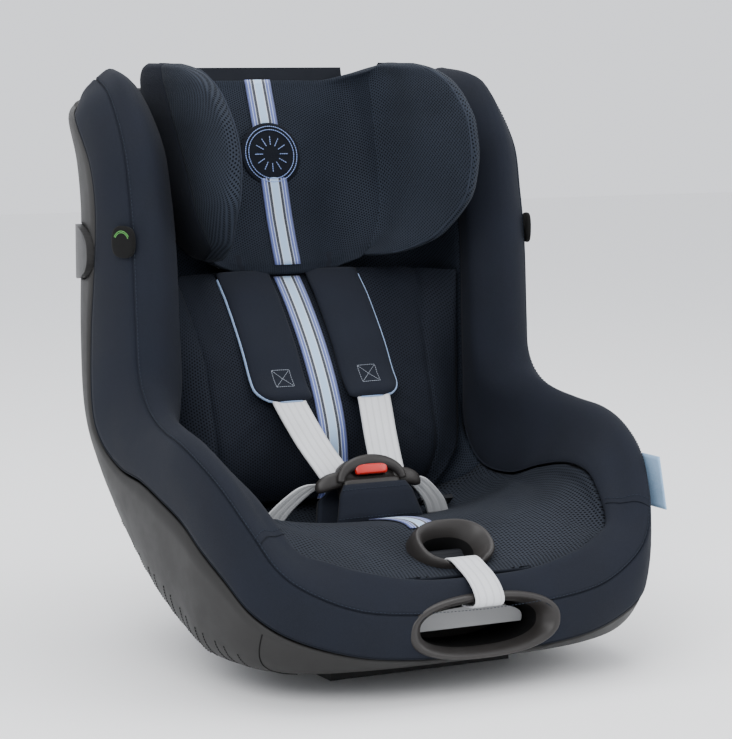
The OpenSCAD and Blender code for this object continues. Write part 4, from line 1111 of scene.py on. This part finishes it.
body = [[-24, 0, -1, 26, 8], [-20, 0, -1, 28, 9.6], [-8, 0, -1, 29, 10], [3, 0, -1, 29.5, 10.2],
        [6, 0, 1.2, 29.5, 8.0], [15, 0, 1.6, 28, 7.4], [19, 0, 1.2, 25, 7.6], [22.5, 0, 1, 19, 6.4],
        [24, 0, 1, 9, 3]]
housing = blob("buckle_body", body, "brown", 56, 0.42)
cut(housing, prism(oval(17.2, 6.0, 48, 0.45) + [0, 12.9], button_at, -30, -1.6))
piece(housing, "seat", "brown_plastic", "buckle_housing")
# an arch over the button
th = np.linspace(-PI / 2, PI / 2, 33)
arch = buckle(np.stack([31 * np.sin(th), -8.4 - 1.8 * np.cos(th), 2.5 + 18 * np.cos(th)], -1))
along_arch = sweep_frames(arch)[0]
ang = (np.arange(20) * 2 * PI / 20)[:, None]
rings = []
for k, t in enumerate(along_arch):
    nx = unit(np.cross(t, rot_x(-20) @ [0, 1, 0]))
    ny = np.cross(t, nx)
    rings.append(arch[k] + (3.6 + 1.8 * math.cos(th[k])) * np.cos(ang) * nx + 3.2 * np.sin(ang) * ny)
piece(loft("buckle_arch", rings, M["brown"], (True, True)), "seat", "brown_plastic")
for s, side in SIDES:
    def wing_at(p, s=s):
        """Local x, y, z turned so that z points to this side."""
        return buckle(np.column_stack([s * p[:, 2], p[:, 0], p[:, 1]]))
    tongue = [[22, -1, 5.5, 3, 5], [27, -2.5, 6, 4.6, 7], [34, -3, 5.5, 5.2, 7.6], [41, -2.6, 4.2, 5.2, 7.6],
              [47, -1.6, 2.4, 4.6, 6.6], [51, -0.8, 1.0, 3.2, 4.6], [52.6, -0.4, 0.4, 1.2, 1.8]]
    piece(blob("belt_tongue_" + side, tongue, "brown", 40, 0.8, wing_at), "seat", "brown_plastic",
          *(["tongues"] if s < 0 else []))
release = [[8.2, 0, -9.4, 14, 1.6], [9.2, 0, -10, 15.4, 2.8], [13, 0, -10.2, 15.9, 3.0],
           [16.6, 0, -10, 15.2, 2.8], [17.6, 0, -9.4, 13.6, 1.6]]
piece(blob("buckle_release", release, "red", 48), "buckle_button", "red_plastic", "buckle_button")


# ------------------------------------------------------------------ small trim
def disc(name, outline, steps, at, key, cap):
    """A thin domed patch: the outline scaled by k at height h, for each step [k, h]."""
    rings = [at(np.column_stack([outline * k, np.full(len(outline), h)])) for k, h in steps]
    return loft(name, rings, M[key], cap)


def polar(r, th):
    return np.stack([r * np.cos(th), r * np.sin(th)], -1)


def emblem(p):
    """Local x and y across the patch, z out of it, on the front of the headrest."""
    return head(np.column_stack([p[:, 0], -17 - p[:, 2], p[:, 1] - 73]))


steps = ((1.1, -0.4), (1.13, 0.5), (1.1, 1.3), (1.04, 1.6), (0.6, 1.9), (0.02, 2.0))
patch = disc("headrest_patch", oval(27, 27, 64, 1), steps, emblem, "navy_dark", (False, True))
piece(patch, "headrest", "navy_fabric", "headrest_emblem")
th = np.linspace(0, 2 * PI, 90)
lines = [emblem(np.column_stack([polar(r, th), np.full(90, 2.2)])) for r in (26.6, 23.4)]
lines += [emblem(np.column_stack([polar(np.linspace(8.5, 17.5, 9), k * PI / 6), np.full(9, 2.3)]))
          for k in range(12)]
sew("headrest_patch_stitches", lines, "thread_blue", 2.2, 2.0, 0.45, body="headrest", slot="blue_fabric")

tg = np.array([[[208.3, y + (z - 131) * 0.27, z] for y in np.linspace(-168, -141, 9)]
               for z in np.linspace(133, 178, 14)])
tg[..., 0] += 1.2 * np.sin(np.linspace(0, PI, 14))[:, None] * np.sin(np.linspace(0, PI, 9))[None]
piece(solid("side_tag", tg, tg - [1.0, 0, 0], M["tag"]), "seat", "blue_fabric", "fabric_tag")

# a round patch on each wing, with two stitched arcs
ca, sa = math.cos(math.radians(20)), math.sin(math.radians(20))
for s, side in SIDES:
    def badge(q, s=s):
        """Local x back, y up, z outward."""
        return np.column_stack([s * (202 + q[:, 2] * ca + q[:, 0] * sa), 64 - q[:, 2] * sa + q[:, 0] * ca,
                                366 + q[:, 1]])
    steps = ((1, 0.5), (1.03, 2.6), (1.0, 3.8), (0.9, 4.2), (0.5, 4.3), (0.02, 4.3))
    bd = disc("round_patch_" + side, oval(13.6, 13.6, 64, 0.72), steps, badge, "patch", (True, True))
    piece(bd, "seat", "black_plastic", *(["wing_badges"] if s < 0 else []))
    th = np.linspace(0.5, PI - 0.5, 30)
    arcs = [badge(np.column_stack([polar(r, th) - [0, 1], np.full(30, 4.5)])) for r in (9.2, 10.6)]
    sew("round_patch_arc_" + side, arcs, "green", 1.8, 1.7, 0.4, slot="black_plastic")

# ------------------------------------------------------------------ floor, light, camera
floor = make("floor", [[-6000, -6000, 0], [6000, -6000, 0], [6000, 6000, 0], [-6000, 6000, 0]],
             [(0, 1, 2, 3)], Nodes("pale_floor", (0.92, 0.92, 0.92), 0.7).mat)
world = bpy.data.worlds.new("studio")
bpy.context.scene.world = world
world.use_nodes = True
world.node_tree.nodes["Background"].inputs[0].default_value = (0.93, 0.95, 1.0, 1)
world.node_tree.nodes["Background"].inputs[1].default_value = 1.35


def aim(ob, loc, target):
    """Adds a light or the camera at loc, pointed at target."""
    bpy.context.scene.collection.objects.link(ob)
    ob.location = loc
    ob.rotation_euler = (target - loc).to_track_quat("-Z", "Y").to_euler()


def area(name, loc, size, power):
    """A rectangular light aimed at the seat."""
    li = bpy.data.lights.new(name, "AREA")
    li.shape = "RECTANGLE"
    li.size, li.size_y = size
    li.energy = power
    aim(bpy.data.objects.new(name, li), Vector(loc), Vector((0, 0, 0.3)))


area("key", (-1.6, -1.6, 1.9), (1.6, 1.6), 50)
area("fill", (1.9, -1.4, 1.2), (1.6, 1.4), 20)
area("top", (0.1, 0.3, 2.2), (1.8, 1.8), 34)

az, el, dist = math.radians(-28), math.radians(7), 2.3036
cam = bpy.data.cameras.new("camera")
cam.lens = 126.66
cam.sensor_width = 36
cam.clip_end = 50
cam_ob = bpy.data.objects.new("camera", cam)
target = Vector((0, 0, 0.250))
view = Vector((math.sin(az) * math.cos(el), -math.cos(az) * math.cos(el), math.sin(el)))
aim(cam_ob, target + dist * view, target)
bpy.context.scene.camera = cam_ob
